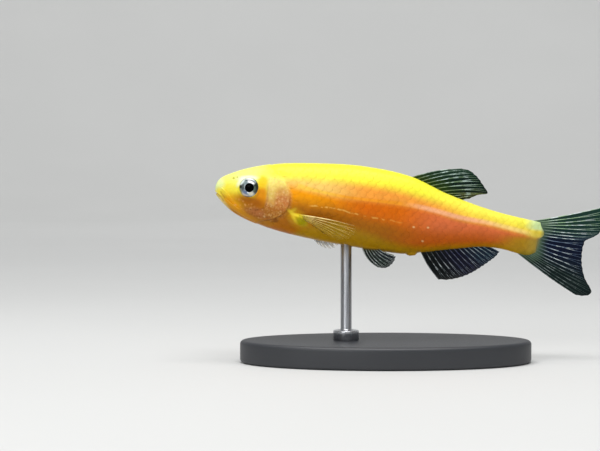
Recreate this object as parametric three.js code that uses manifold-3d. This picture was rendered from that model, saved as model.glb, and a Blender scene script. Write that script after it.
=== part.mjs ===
// A zebra danio of a yellow and orange strain, life size, as a still model on a plain stand.
// Millimetres, +Z up. The head points to -X and the left flank to -Y. The origin is under the
// middle of the model, on the surface that the stand rests on.
//
// The fish is built along its own axis and then pitched nose up. In its own frame x is the
// distance behind the snout, y the distance to its right and z the height above its axis.

import * as THREE from 'three';
import { mergeVertices } from 'three/addons/utils/BufferGeometryUtils.js';
import Module from 'manifold-3d';

const wasm = await Module();
wasm.setup();

// Driving dimensions
const bodyLength = 38;
const noseUp = THREE.MathUtils.degToRad(8.8);
// The space that pieces keep where they meet, and how far cuts reach past the body.
const gap = 0.3;
const beyond = 8;

// Side view of the body: distance behind the snout and height above the axis.
const backPoints = [
  [0, 0], [0.36, 1.0], [1.64, 1.9], [3.6, 2.82], [7, 3.87], [11.2, 4.56],
  [16.7, 5.06], [22.4, 4.7], [26.9, 3.36], [32.7, 2.22], [38, 1.76],
];
const bellyPoints = [
  [0, 0], [0.16, -0.68], [1.02, -1.61], [2.6, -2.64], [4.8, -3.38], [7.7, -3.93],
  [11.5, -4.28], [16.5, -4.45], [20.8, -4.46], [22.8, -4.38], [24.7, -3.93], [28.8, -2.85],
  [31.8, -2.16], [34.2, -2.08], [36.2, -2.27], [38, -2.35],
];
// Top view: distance behind the snout and half the width.
const widthPoints = [
  [0, 0], [0.1, 0.42], [1, 1.02], [2.4, 1.62], [4, 2.08], [6.6, 2.42],
  [10, 2.62], [14, 2.62], [19, 2.44], [25, 1.95], [30, 1.42], [34, 1.05], [36.6, 0.76], [38, 0.46],
];
// Height at which each section is widest.
const girthPoints = [[0, 0], [4, 0.15], [9, 0.45], [16, 0.6], [24, 0.4], [32, 0.05], [38, -0.15]];
const backRoundness = 2.15;
const bellyRoundness = 1.95;
const bodyStations = 56;
const bodySides = 36;
// Stations stand closer together towards the snout.
const stationPower = 1.5;

// Where the body is parted: behind the gill covers, and behind the anal fin.
const napeToThroat = [
  [4.9, 6], [5.9, 3.5], [7.65, 2.05], [8.65, 0.75], [8.85, -0.5],
  [8.4, -1.55], [7.45, -2.65], [6.5, -3.5], [5.6, -4.8],
];
const tailStemStart = 34.1;

// Gill cover: its outline in side view, and how thick it is.
const coverOutline = [
  [9.6, 1.9], [7.7, 2.3], [6.6, 2.05], [6.15, 1.2], [6.08, 0.3], [6.2, -0.7],
  [5.8, -1.6], [5.35, -2.35], [5.75, -2.85], [6.9, -3.05], [8.6, -2.9], [9.8, -1.2],
];
const coverThickness = 0.6;
const coverToMiddle = 0.55;

// Eye: where its rim stands, its size, and how it faces a little forward and up.
const eyePlace = new THREE.Vector3(3.93, -1.95, 0.56);
const eyeRadius = 1.12;
const eyeDepth = 0.85;
const eyeBulge = 0.42;
const pupilRadius = 0.53;
const pupilRise = 0.08;
const eyeSides = 20;
const irisRings = [0.94, 0.78];
const pupilRings = [0.96, 0.6, 0];
const eyeForward = THREE.MathUtils.degToRad(10);
const eyeUpward = THREE.MathUtils.degToRad(5);

// Mouth: its line in side view from the front to the corner, and a lip above and below it.
const mouthLine = [
  [-0.6, -0.45], [0.13, -0.63], [0.42, -0.79], [0.74, -0.96], [0.98, -1.15], [1.3, -1.58],
];
const mouthWidth = 0.14;
const mouthDepth = 0.28;
const lips = {
  upper: { side: 1, fromMouth: 0.18, front: 0.19, corner: 0.1 },
  lower: { side: -1, fromMouth: 0.11, front: 0.13, corner: 0.08 },
};
const lipSink = 0.1;
const lipSteps = 7;

// Nostrils: two pits before each eye.
const nostrils = [
  { along: 1.95, up: 1.32, radius: 0.2 },
  { along: 2.36, up: 1.5, radius: 0.16 },
];
const pitSides = 10;

// Feelers: the path of each left one, as distance behind the snout, height, and distance out of
// the skin, where its root is under it.
const feelerPaths = {
  rostral: [[0.7, 0.1, -0.35], [0.85, 0.0, 0.5], [1.5, -0.45, 0.62], [2.3, -1.1, 0.5]],
  maxillary: [[1.45, -1.1, -0.35], [1.7, -1.3, 0.5], [2.7, -1.85, 0.62], [3.9, -2.35, 0.5]],
};
const feelerRootRadius = 0.26;
const feelerTipRadius = 0.12;
const feelerSteps = 7;
const tubeSides = 8;

// Vent: the small swelling before the anal fin.
const ventPlace = new THREE.Vector3(23.8, 0, -4.05);
const ventSize = new THREE.Vector3(0.9, 0.45, 0.5);

// Fins: the root and the free edge, each from the first ray to the last. The left one of a pair
// is given. bow is how far the first and the last ray bend from a straight line, towards the
// first ray's side.
const fins = {
  dorsal_fin: {
    root: [[21.9, 0, 4.3], [24.1, 0, 3.85], [26.2, 0, 3.1], [27.9, 0, 2.5]],
    edge: [
      [28.2, 0, 6.5], [29.2, 0, 6.45], [30.3, 0, 5.85], [31.15, 0, 5.05],
      [31.6, 0, 4.6], [31.85, 0, 4.22], [30.5, 0, 3.78], [29.5, 0, 3.2],
    ],
    rays: 10, rows: 6, bow: [0.3, 0.1],
  },
  anal_fin: {
    root: [[24.6, 0, -3.4], [27.0, 0, -2.75], [29.4, 0, -2.1], [31.6, 0, -1.8]],
    edge: [
      [27.35, 0, -6.7], [28.4, 0, -6.58], [29.45, 0, -6.25], [30.5, 0, -5.74], [31.35, 0, -5.13],
      [32.15, 0, -4.44], [32.85, 0, -3.76], [33.5, 0, -3.08], [33.9, 0, -2.42],
    ],
    rays: 13, rows: 5, bow: [0.2, 0.28],
  },
  caudal_fin_upper: {
    root: [[36.4, 0, 1.5], [37.5, 0, 1.3], [37.8, 0, 0.7], [37.8, 0, 0.05]],
    edge: [
      [45.3, 0, 4.72], [45.75, 0, 4.0], [45.6, 0, 2.8], [44.95, 0, 1.4],
      [44.3, 0, 0.88], [43.65, 0, 0.45], [43.5, 0, 0.1],
    ],
    rays: 10, rows: 6, bow: [-0.14, -0.05],
  },
  caudal_fin_lower: {
    root: [[37.8, 0, -0.25], [37.8, 0, -1.0], [37.4, 0, -1.7], [35.5, 0, -1.9]],
    edge: [
      [43.45, 0, -0.2], [43.43, 0, -0.9], [43.6, 0, -2.2], [44.2, 0, -3.86],
      [45.25, 0, -5.2], [45.25, 0, -5.65], [44.5, 0, -6.0], [43.5, 0, -6.03],
    ],
    rays: 10, rows: 6, bow: [0.05, -0.15],
  },
  pectoral_fin: {
    root: [[10.1, -1.95, -1.66], [10.4, -1.9, -2.0], [10.7, -1.85, -2.4]],
    edge: [
      [16.57, -5.2, -1.85], [16.88, -5.2, -2.38], [16.5, -4.9, -3.2],
      [15.5, -4.3, -3.7], [14.1, -3.65, -3.7], [12.8, -3.05, -3.15],
    ],
    rays: 10, rows: 5, bow: [0.12, 0.15],
  },
  pelvic_fin: {
    root: [[17.9, -0.75, -4.0], [18.7, -0.7, -4.05], [19.5, -0.6, -4.1]],
    edge: [
      [20.1, -1.8, -6.3], [20.9, -2.0, -6.2], [21.55, -1.95, -5.72],
      [21.85, -1.85, -5.2], [21.95, -1.75, -4.75],
    ],
    rays: 7, rows: 5, bow: [0.42, 0.12],
  },
};
const farPectoralDrop = THREE.MathUtils.degToRad(24);
const farPectoralSize = 0.9;
const membrane = { root: 0.56, edge: 0.4 };
const ray = { root: 0.9, edge: 0.5 };
const membraneShort = 0.14;

// Stand: an oval base and one rod up into the belly.
const base = { length: 34, width: 18, height: 2.6, bevel: 0.5, centre: -3 };
const rod = { radius: 0.65, alongFish: 16.1, chamfer: 0.25, foot: 1.4, intoBelly: 1.2, sides: 20 };
const collar = { radius: 1.5, height: 0.9 };
const bellyAboveBase = 11;

// Materials
function paint(color, roughness, metalness = 0) {
  return new THREE.MeshStandardMaterial({ color, roughness, metalness });
}
const paints = {
  head: paint(0xf2d238, 0.45),
  cover: paint(0xd88c58, 0.4),
  trunk: paint(0xe08a1c, 0.45),
  tailStem: paint(0xd9a02a, 0.45),
  clearFin: paint(0x5a6e62, 0.5),
  paleFin: paint(0xcfc27a, 0.5),
  eye: paint(0xb9c2c8, 0.2),
  feeler: paint(0xe6d27a, 0.5),
  base: paint(0x2c2e31, 0.5),
  rod: paint(0xa9abae, 0.3, 1),
};

// A smooth line through points of distance and value. It is even in the root of the distance,
// so a line that starts at the snout starts upright there and the snout is round.
function smoothLine(points) {
  const places = points.map(([along]) => Math.sqrt(along));
  const values = points.map(([, value]) => value);
  const line = new THREE.CubicInterpolant(places, values, 1);
  return (along) => line.evaluate(Math.sqrt(along))[0];
}

const back = smoothLine(backPoints);
const belly = smoothLine(bellyPoints);
const halfWidth = smoothLine(widthPoints);
const girthHeight = smoothLine(girthPoints);

// The point of the body's section at a distance behind the snout, turned from the back over the
// right flank. grow moves the surface out, or in where it is negative.
function skinPoint(along, turn, grow = 0) {
  const middle = girthHeight(along);
  const upward = Math.cos(turn);
  const sideways = Math.sin(turn);
  const power = 2 / (upward >= 0 ? backRoundness : bellyRoundness);
  const reach = upward >= 0 ? back(along) - middle : middle - belly(along);
  const y = (halfWidth(along) + grow) * Math.sign(sideways) * Math.abs(sideways) ** power;
  const z = middle + (reach + grow) * Math.sign(upward) * Math.abs(upward) ** power;
  const x = along + grow * (2 * along / bodyLength - 1);
  return new THREE.Vector3(x, y, z);
}

// How far the skin is from the middle plane at a place in side view.
function skinSide(along, up) {
  const middle = girthHeight(along);
  const above = up >= middle;
  const reach = above ? back(along) - middle : middle - belly(along);
  const power = above ? backRoundness : bellyRoundness;
  const share = Math.min(Math.abs(up - middle) / reach, 1);
  return halfWidth(along) * (1 - share ** power) ** (1 / power);
}

// A closed geometry from rows of points, each row a ring, with a point at both ends.
function ringedGeometry(start, rings, end) {
  const sides = rings[0].length;
  const points = [start, ...rings.flat(), end];
  const last = points.length - 1;
  const index = [];
  for (let side = 0; side < sides; side++) {
    const next = (side + 1) % sides;
    index.push(0, 1 + side, 1 + next);
    index.push(last, last - sides + next, last - sides + side);
    for (let ring = 0; ring + 1 < rings.length; ring++) {
      const here = 1 + ring * sides;
      const there = here + sides;
      index.push(here + side, there + side, here + next);
      index.push(here + next, there + side, there + next);
    }
  }
  const geometry = new THREE.BufferGeometry().setFromPoints(points);
  geometry.setIndex(index);
  return geometry;
}

function bodyGeometry(grow = 0) {
  const rings = [];
  for (let station = 1; station <= bodyStations; station++) {
    const along = bodyLength * (station / bodyStations) ** stationPower;
    const ring = [];
    for (let side = 0; side < bodySides; side++) {
      ring.push(skinPoint(along, (side / bodySides) * 2 * Math.PI, grow));
    }
    rings.push(ring);
  }
  const snout = new THREE.Vector3(-grow, 0, 0);
  const tail = new THREE.Vector3(bodyLength + grow, 0, girthHeight(bodyLength));
  return ringedGeometry(snout, rings, tail);
}

function toSolid(geometry) {
  const bare = geometry.clone();
  bare.deleteAttribute('normal');
  bare.deleteAttribute('uv');
  const merged = mergeVertices(bare, 1e-5);
  return new wasm.Manifold(new wasm.Mesh({
    numProp: 3,
    vertProperties: new Float32Array(merged.attributes.position.array),
    triVerts: new Uint32Array(merged.index.array),
  }));
}

function toGeometry(solid) {
  const mesh = solid.getMesh();
  const geometry = new THREE.BufferGeometry();
  geometry.setAttribute('position', new THREE.BufferAttribute(mesh.vertProperties, 3));
  geometry.setIndex(new THREE.BufferAttribute(mesh.triVerts, 1));
  return geometry;
}

// The largest closed surface of a solid, without loose scraps and sealed hollows.
function largest(solid) {
  return solid.decompose().reduce((best, piece) => (piece.volume() > best.volume() ? piece : best));
}

// The same geometry on the other side of the middle plane.
function mirrored(geometry) {
  const other = geometry.clone();
  other.scale(1, -1, 1);
  const index = other.index.array;
  for (let corner = 0; corner < index.length; corner += 3) {
    [index[corner], index[corner + 1]] = [index[corner + 1], index[corner]];
  }
  return other;
}

// A side-view outline made into a block that reaches from one side to the other.
function block(outline, nearSide, farSide) {
  const shape = new THREE.Shape(outline);
  const geometry = new THREE.ExtrudeGeometry(shape, { depth: farSide - nearSide, bevelEnabled: false });
  geometry.rotateX(Math.PI / 2);
  geometry.translate(0, farSide, 0);
  return toSolid(geometry);
}

// A band of even width along a side-view line.
function band(points, width, samples = 24) {
  const line = new THREE.SplineCurve(points.map(([x, z]) => new THREE.Vector2(x, z)));
  const left = [];
  const right = [];
  for (let sample = 0; sample <= samples; sample++) {
    const place = line.getPoint(sample / samples);
    const tangent = line.getTangent(sample / samples);
    const across = new THREE.Vector2(-tangent.y, tangent.x).multiplyScalar(width / 2);
    left.push(place.clone().add(across));
    right.unshift(place.clone().sub(across));
  }
  return left.concat(right);
}

// A closed side-view outline through points, moved outwards.
function outlineAround(points, outward, samples = 48) {
  const corners = points.map(([x, z]) => new THREE.Vector3(x, 0, z));
  const line = new THREE.CatmullRomCurve3(corners, true);
  const outline = [];
  for (let sample = 0; sample < samples; sample++) {
    const place = line.getPoint(sample / samples);
    const tangent = line.getTangent(sample / samples);
    outline.push(new THREE.Vector2(place.x + tangent.z * outward, place.z - tangent.x * outward));
  }
  return outline;
}

// A round tube along a line, with a radius for each share of its length.
function tubeGeometry(line, radiusAt, steps) {
  const frames = line.computeFrenetFrames(steps);
  const rings = [];
  for (let step = 0; step <= steps; step++) {
    const share = step / steps;
    const ring = [];
    for (let side = 0; side < tubeSides; side++) {
      const turn = (side / tubeSides) * 2 * Math.PI;
      const point = line.getPointAt(share);
      point.addScaledVector(frames.normals[step], radiusAt(share) * Math.cos(turn));
      point.addScaledVector(frames.binormals[step], -radiusAt(share) * Math.sin(turn));
      ring.push(point);
    }
    rings.push(ring);
  }
  return ringedGeometry(line.getPointAt(0), rings, line.getPointAt(1));
}

function feelerGeometry(path) {
  const line = new THREE.CatmullRomCurve3(path.map(([along, up, out]) => (
    new THREE.Vector3(along, -skinSide(along, up) - out, up)
  )));
  const radiusAt = (share) => THREE.MathUtils.lerp(feelerRootRadius, feelerTipRadius, share);
  return tubeGeometry(line, radiusAt, feelerSteps);
}

// The distance behind the snout at which the lower outline passes a height.
function underSnout(up) {
  const step = 0.01;
  let along = 0;
  while (belly(along) > up) {
    along += step;
  }
  return along;
}

// A lip: a tube from the left corner of the mouth round the snout to the right corner.
function lipGeometry({ side, fromMouth, front, corner }, grow = 0) {
  const mouth = new THREE.SplineCurve(mouthLine.slice(1).map(([x, z]) => new THREE.Vector2(x, z)));
  const left = [];
  for (let step = 1; step <= lipSteps; step++) {
    const share = step / lipSteps;
    const place = mouth.getPoint(share);
    const tangent = mouth.getTangent(share);
    place.x += -tangent.y * side * fromMouth;
    place.y += tangent.x * side * fromMouth;
    left.push(new THREE.Vector3(place.x, lipSink - skinSide(place.x, place.y), place.y));
  }
  const middleUp = mouthLine[1][1] + side * fromMouth;
  const middle = new THREE.Vector3(underSnout(middleUp) + lipSink, 0, middleUp);
  const right = left.map((point) => new THREE.Vector3(point.x, -point.y, point.z));
  const line = new THREE.CatmullRomCurve3([...left.reverse(), middle, ...right]);
  const radiusAt = (share) => THREE.MathUtils.lerp(front, corner, Math.abs(2 * share - 1)) + grow;
  return tubeGeometry(line, radiusAt, 3 * lipSteps + 1);
}

// A fin's middle sheet in columns from root to edge, one on each ray and one between each two,
// where the membrane ends a little short of the rays; and the direction of its thickness.
function finSheet({ root, edge, rays, rows, bow }) {
  const rootLine = new THREE.CatmullRomCurve3(root.map((point) => new THREE.Vector3(...point)));
  const edgeLine = new THREE.CatmullRomCurve3(edge.map((point) => new THREE.Vector3(...point)));
  const firstRay = edgeLine.getPoint(0).sub(rootLine.getPoint(0));
  const lastRay = edgeLine.getPoint(1).sub(rootLine.getPoint(0));
  const across = new THREE.Vector3().crossVectors(firstRay, lastRay).normalize();
  const last = 2 * (rays - 1);
  const columns = [];
  for (let column = 0; column <= last; column++) {
    const onRay = column % 2 === 0;
    const from = rootLine.getPointAt(column / last);
    const to = edgeLine.getPointAt(column / last);
    const length = from.distanceTo(to);
    const end = onRay ? 1 : 1 - membraneShort / length;
    const toFirst = new THREE.Vector3().subVectors(to, from).cross(across).normalize();
    const bend = THREE.MathUtils.lerp(bow[0], bow[1], column / last);
    const thickness = onRay ? ray : membrane;
    const points = [];
    for (let row = 0; row <= rows; row++) {
      const share = end * row / rows;
      const place = from.clone().lerp(to, share).addScaledVector(toFirst, bend * 4 * share * (1 - share));
      points.push({ place, half: THREE.MathUtils.lerp(thickness.root, thickness.edge, share) / 2 });
    }
    columns.push(points);
  }
  return { columns, across };
}

// A fin: two faces on either side of its middle sheet, split into triangles alike.
function finGeometry(fin) {
  const { columns, across } = finSheet(fin);
  const rows = columns[0].length;
  const face = (side) => columns.flat().map(({ place, half }) => (
    place.clone().addScaledVector(across, side * half)
  ));
  const points = [...face(1), ...face(-1)];
  const count = points.length / 2;
  const index = [];
  const quad = (a, b, c, d) => index.push(a, b, c, a, c, d);
  for (let column = 0; column + 1 < columns.length; column++) {
    const foot = column * rows;
    const tip = foot + rows - 1;
    for (let row = foot; row < tip; row++) {
      quad(row, row + 1, row + 1 + rows, row + rows);
      index.push(count + row, count + row + 1 + rows, count + row + 1);
      index.push(count + row, count + row + rows, count + row + 1 + rows);
    }
    quad(foot, foot + rows, count + foot + rows, count + foot);
    quad(tip + rows, tip, count + tip, count + tip + rows);
  }
  const lastColumn = count - rows;
  for (let row = 0; row + 1 < rows; row++) {
    quad(row + 1, row, count + row, count + row + 1);
    quad(lastColumn + row, lastColumn + row + 1, count + lastColumn + row + 1, count + lastColumn + row);
  }
  const geometry = new THREE.BufferGeometry().setFromPoints(points);
  geometry.setIndex(index);
  return geometry;
}

// An eye: a lathed lens that looks along its own -Y, its rim at the origin, its pupil raised.
function eyeGeometry(grow = 0) {
  const rim = eyeRadius + grow;
  const profile = [];
  const add = (radius, height) => profile.push(new THREE.Vector2(radius, height));
  const steps = 5;
  for (let step = 0; step <= steps; step++) {
    const turn = (step / steps) * (Math.PI / 2);
    add(rim * Math.sin(turn), -(eyeDepth + grow) * Math.cos(turn));
  }
  const height = (radius) => (eyeBulge + grow) * Math.sqrt(1 - (radius / rim) ** 2);
  for (const share of irisRings) {
    add(share * rim, height(share * rim) - pupilRise);
  }
  add(pupilRadius, height(pupilRadius) - pupilRise);
  for (const share of pupilRings) {
    add(share * pupilRadius, height(share * pupilRadius));
  }
  profile[0].x = 0;
  const geometry = new THREE.LatheGeometry(profile, eyeSides);
  geometry.rotateX(Math.PI);
  return geometry;
}

// Fish
const fish = new THREE.Group();
fish.rotation.y = noseUp;

function addMesh(group, name, geometry, material) {
  const mesh = new THREE.Mesh(geometry, material);
  mesh.name = name;
  group.add(mesh);
  return mesh;
}

// Whole body with lips and vent, before it is parted
function wholeBody() {
  const upperLip = toSolid(lipGeometry(lips.upper));
  const lowerLip = toSolid(lipGeometry(lips.lower));
  const body = toSolid(bodyGeometry()).add(upperLip).add(lowerLip);
  const throughMouth = block(band(mouthLine, mouthWidth), -beyond, beyond);
  const slit = throughMouth.subtract(toSolid(bodyGeometry(-mouthDepth)));
  const vent = new THREE.SphereGeometry(1, pitSides, pitSides);
  vent.scale(ventSize.x, ventSize.y, ventSize.z);
  vent.translate(ventPlace.x, ventPlace.y, ventPlace.z);
  return largest(body.subtract(slit).add(toSolid(vent)));
}

// The body split into head, trunk and tail stem by cuts as wide as the gap
function partedBody() {
  const behindHead = block(band(napeToThroat, gap), -beyond, beyond);
  const beforeTail = block(band([[tailStemStart, -beyond], [tailStemStart, beyond]], gap), -beyond, beyond);
  const pieces = wholeBody().subtract(behindHead).subtract(beforeTail).decompose();
  const big = pieces.filter((piece) => piece.volume() > 1);
  big.sort((one, other) => one.boundingBox().min[0] - other.boundingBox().min[0]);
  return big;
}

let [head, trunk, tailStem] = partedBody();

// Gill covers, cut out of the head's outer layer
const coverUnder = toSolid(bodyGeometry(-coverThickness));
const coverBed = toSolid(bodyGeometry(-coverThickness - gap));
const leftBlock = block(outlineAround(coverOutline, 0), -beyond, -coverToMiddle);
const leftRoom = block(outlineAround(coverOutline, gap), -beyond, gap - coverToMiddle);
const leftCover = toGeometry(largest(head.intersect(leftBlock).subtract(coverUnder)));
for (const room of [leftRoom, toSolid(mirrored(toGeometry(leftRoom)))]) {
  head = head.subtract(room.subtract(coverBed));
}

// Eyes in their sockets
const leftEyeMatrix = new THREE.Matrix4().compose(
  eyePlace,
  new THREE.Quaternion().setFromEuler(new THREE.Euler(-eyeUpward, 0, -eyeForward)),
  new THREE.Vector3(1, 1, 1),
);
const leftEye = eyeGeometry().applyMatrix4(leftEyeMatrix);
const leftSocket = eyeGeometry(gap).applyMatrix4(leftEyeMatrix);
head = head.subtract(toSolid(leftSocket)).subtract(toSolid(mirrored(leftSocket)));

// Nostrils
for (const { along, up, radius } of nostrils) {
  const ball = new THREE.SphereGeometry(radius, pitSides, pitSides);
  ball.translate(along, -skinSide(along, up), up);
  const pit = toSolid(ball);
  head = head.subtract(pit).subtract(toSolid(mirrored(toGeometry(pit))));
}

head = largest(head);
addMesh(fish, 'head', toGeometry(head), paints.head);
addMesh(fish, 'operculum_left', leftCover, paints.cover);
addMesh(fish, 'operculum_right', mirrored(leftCover), paints.cover);
addMesh(fish, 'eye_left', leftEye, paints.eye);
addMesh(fish, 'eye_right', mirrored(leftEye), paints.eye);

// Feelers and fins end just clear of the skin that they grow from.
const skinRoom = toSolid(bodyGeometry(gap));
const lipRooms = Object.values(lips).map((lip) => toSolid(lipGeometry(lip, gap)));
const mouthRoom = lipRooms.reduce((room, lip) => room.add(lip), skinRoom);

for (const [name, path] of Object.entries(feelerPaths)) {
  const feeler = toGeometry(largest(toSolid(feelerGeometry(path)).subtract(mouthRoom)));
  addMesh(fish, `barbel_${name}_left`, feeler, paints.feeler);
  addMesh(fish, `barbel_${name}_right`, mirrored(feeler), paints.feeler);
}

function finClearOfSkin(geometry) {
  return toGeometry(largest(toSolid(geometry).subtract(skinRoom)));
}

for (const name of ['dorsal_fin', 'anal_fin', 'caudal_fin_upper', 'caudal_fin_lower']) {
  addMesh(fish, name, finClearOfSkin(finGeometry(fins[name])), paints.clearFin);
}

const pelvic = finClearOfSkin(finGeometry(fins.pelvic_fin));
addMesh(fish, 'pelvic_fin_left', pelvic, paints.clearFin);
addMesh(fish, 'pelvic_fin_right', mirrored(pelvic), paints.clearFin);

// The right pectoral fin shows smaller and hangs lower than the left one, turned down about its root.
const pectoral = finGeometry(fins.pectoral_fin);
const dropped = mirrored(pectoral);
const [rootX, rootY, rootZ] = fins.pectoral_fin.root[0];
dropped.translate(-rootX, rootY, -rootZ);
dropped.scale(farPectoralSize, farPectoralSize, farPectoralSize);
dropped.rotateY(farPectoralDrop);
dropped.translate(rootX, -rootY, rootZ);
addMesh(fish, 'pectoral_fin_left', finClearOfSkin(pectoral), paints.paleFin);
addMesh(fish, 'pectoral_fin_right', finClearOfSkin(dropped), paints.paleFin);

// The fish's place: its belly at its height over the base, its length centred on the origin
const bellyHeight = base.height + bellyAboveBase;
const heldPoint = new THREE.Vector3(rod.alongFish, 0, belly(rod.alongFish)).applyEuler(fish.rotation);
const reach = new THREE.Box3().setFromObject(fish, true);
fish.position.set(-(reach.min.x + reach.max.x) / 2, 0, bellyHeight - heldPoint.z);
fish.updateMatrixWorld();

// Stand
function baseGeometry() {
  const outline = new THREE.Shape();
  outline.absellipse(0, 0, base.length / 2 - base.bevel, base.width / 2 - base.bevel, 0, 2 * Math.PI);
  const geometry = new THREE.ExtrudeGeometry(outline, {
    depth: base.height - 2 * base.bevel,
    bevelSize: base.bevel,
    bevelThickness: base.bevel,
    bevelSegments: 2,
    curveSegments: 24,
  });
  geometry.translate(base.centre, 0, base.bevel);
  return geometry;
}

function rodGeometry(grow = 0) {
  const top = bellyHeight + rod.intoBelly + grow;
  const foot = base.height - rod.foot - grow;
  const collarFoot = base.height + gap - grow;
  const collarTop = collarFoot + collar.height;
  const radius = rod.radius + grow;
  const profile = [
    [0, foot], [radius, foot], [radius, collarFoot], [collar.radius, collarFoot],
    [collar.radius, collarTop - rod.chamfer], [collar.radius - rod.chamfer, collarTop],
    [radius, collarTop], [radius, top - rod.chamfer], [radius - rod.chamfer, top], [0, top],
  ];
  const geometry = new THREE.LatheGeometry(profile.map(([x, y]) => new THREE.Vector2(x, y)), rod.sides);
  geometry.rotateX(Math.PI / 2);
  geometry.translate(heldPoint.x + fish.position.x, 0, 0);
  return geometry;
}

const stand = new THREE.Group();
const rodRoom = rodGeometry(gap);
const drilledBase = toSolid(baseGeometry()).subtract(toSolid(rodRoom));
addMesh(stand, 'stand_base', toGeometry(largest(drilledBase)), paints.base);
addMesh(stand, 'stand_rod', rodGeometry(), paints.rod);

// Trunk with the rod's socket in its belly
const socketMatrix = fish.matrixWorld.clone().invert();
trunk = largest(trunk.subtract(toSolid(rodRoom.applyMatrix4(socketMatrix))));
addMesh(fish, 'trunk', toGeometry(trunk), paints.trunk);
addMesh(fish, 'caudal_peduncle', toGeometry(tailStem), paints.tailStem);

const danio = new THREE.Group();
danio.add(fish, stand);

export default danio;
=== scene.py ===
"""A zebra danio of a yellow and orange strain, life size, on a plain stand.

Shapes are worked out in millimetres in the fish's own frame: along is the distance behind the
snout, side the distance to its right, and up the height above its axis. placed() turns them into
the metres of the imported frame. A turn is an angle round the body, from the back over the right
flank. A sight place is a pair of along and up, as the fish shows from its side.
"""

import math

import bpy
import numpy as np
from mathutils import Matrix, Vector


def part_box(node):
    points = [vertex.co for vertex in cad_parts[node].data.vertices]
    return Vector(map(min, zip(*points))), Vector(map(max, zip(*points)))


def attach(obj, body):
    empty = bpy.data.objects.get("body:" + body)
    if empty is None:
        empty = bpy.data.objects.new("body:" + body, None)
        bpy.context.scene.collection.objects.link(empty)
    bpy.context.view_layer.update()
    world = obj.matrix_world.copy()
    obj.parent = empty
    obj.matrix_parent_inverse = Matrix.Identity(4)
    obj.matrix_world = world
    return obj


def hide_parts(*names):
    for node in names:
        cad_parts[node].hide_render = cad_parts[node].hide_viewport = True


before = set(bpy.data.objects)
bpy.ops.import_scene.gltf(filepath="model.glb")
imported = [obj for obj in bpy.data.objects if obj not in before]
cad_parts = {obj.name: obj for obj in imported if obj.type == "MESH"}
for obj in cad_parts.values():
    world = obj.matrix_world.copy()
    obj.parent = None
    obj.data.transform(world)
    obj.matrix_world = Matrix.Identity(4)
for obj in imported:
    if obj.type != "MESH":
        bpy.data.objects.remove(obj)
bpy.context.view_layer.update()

MM = 0.001
BODY = "root"

# Driving sizes, as in the solids
BODY_LENGTH = 38.0
NOSE_UP = math.radians(8.8)
BACK_POINTS = [
    (0, 0), (0.36, 1.0), (1.64, 1.9), (3.6, 2.82), (7, 3.87), (11.2, 4.56),
    (16.7, 5.06), (22.4, 4.7), (26.9, 3.36), (32.7, 2.22), (38, 1.76),
]
BELLY_POINTS = [
    (0, 0), (0.16, -0.68), (1.02, -1.61), (2.6, -2.64), (4.8, -3.38), (7.7, -3.93), (11.5, -4.28),
    (16.5, -4.45), (20.8, -4.46), (22.8, -4.38), (24.7, -3.93), (28.8, -2.85), (31.8, -2.16),
    (34.2, -2.08), (36.2, -2.31), (37.2, -2.32), (38, -1.95),
]
WIDTH_POINTS = [
    (0, 0), (0.1, 0.42), (1, 1.02), (2.4, 1.62), (4, 2.08), (6.6, 2.42), (10, 2.62),
    (14, 2.62), (19, 2.44), (25, 1.95), (30, 1.42), (34, 1.05), (36.6, 0.64), (38, 0.24),
]
GIRTH_POINTS = [(0, 0), (4, 0.15), (9, 0.45), (16, 0.6), (24, 0.4), (32, 0.05), (38, -0.15)]
BACK_ROUNDNESS = 2.15
BELLY_ROUNDNESS = 1.95
ROD_ALONG = 16.1
ROD_INTO_BELLY = 1.2

# The edge of the gill covers, from the nape over the cover's hind edge to the throat
GILL_EDGE = [
    (4.9, 4.6), (5.9, 3.5), (7.65, 2.05), (8.65, 0.75), (8.85, -0.5),
    (8.45, -1.6), (7.6, -2.4), (6.6, -2.82), (5.7, -3.15), (4.9, -3.9),
]

# Scales: their depth over the skin, also at the tail, and how far apart they are both ways
COAT_DEPTH = 0.06
TAIL_COAT = 0.35
SCALE_STEP = 1.0
SCALE_ROW = 0.68

# Eye
EYE_PLACE = np.array([3.93, -1.95, 0.56])
EYE_FORWARD = math.radians(10)
EYE_UPWARD = math.radians(5)
EYE_RADIUS = 1.12
EYE_BULGE = 0.42
EYE_DEPTH = 0.85
PUPIL_RADIUS = 0.53
PUPIL_SHIFT = np.array([0.11, -0.02])
LID_OVERLAP = 0.05

MOUTH_LINE = [(-0.5, -0.5), (0.1, -0.63), (0.42, -0.79), (0.74, -0.96), (0.98, -1.15), (1.3, -1.6)]
JAW_FOLD = [(0.64, -0.34), (0.8, -0.58), (1.05, -0.86), (1.4, -1.12)]
NOSTRILS = [((1.95, 1.32), 0.13), ((2.36, 1.5), 0.1)]


# Curves and forms

def smooth(value, low=0.0, high=1.0):
    """0 below low, 1 above high, and an S between them."""
    share = np.clip((np.asarray(value, float) - low) / (high - low), 0, 1)
    return share * share * (3 - 2 * share)


def bell(distance, width):
    """1 at a distance of 0, and softly less from there on, nearly 0 at twice the width."""
    return np.exp(-((distance / width) ** 2))


def even_turns(count):
    """Angles all round a circle, a step apart."""
    return np.linspace(0, 2 * math.pi, count, endpoint=False)


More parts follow.
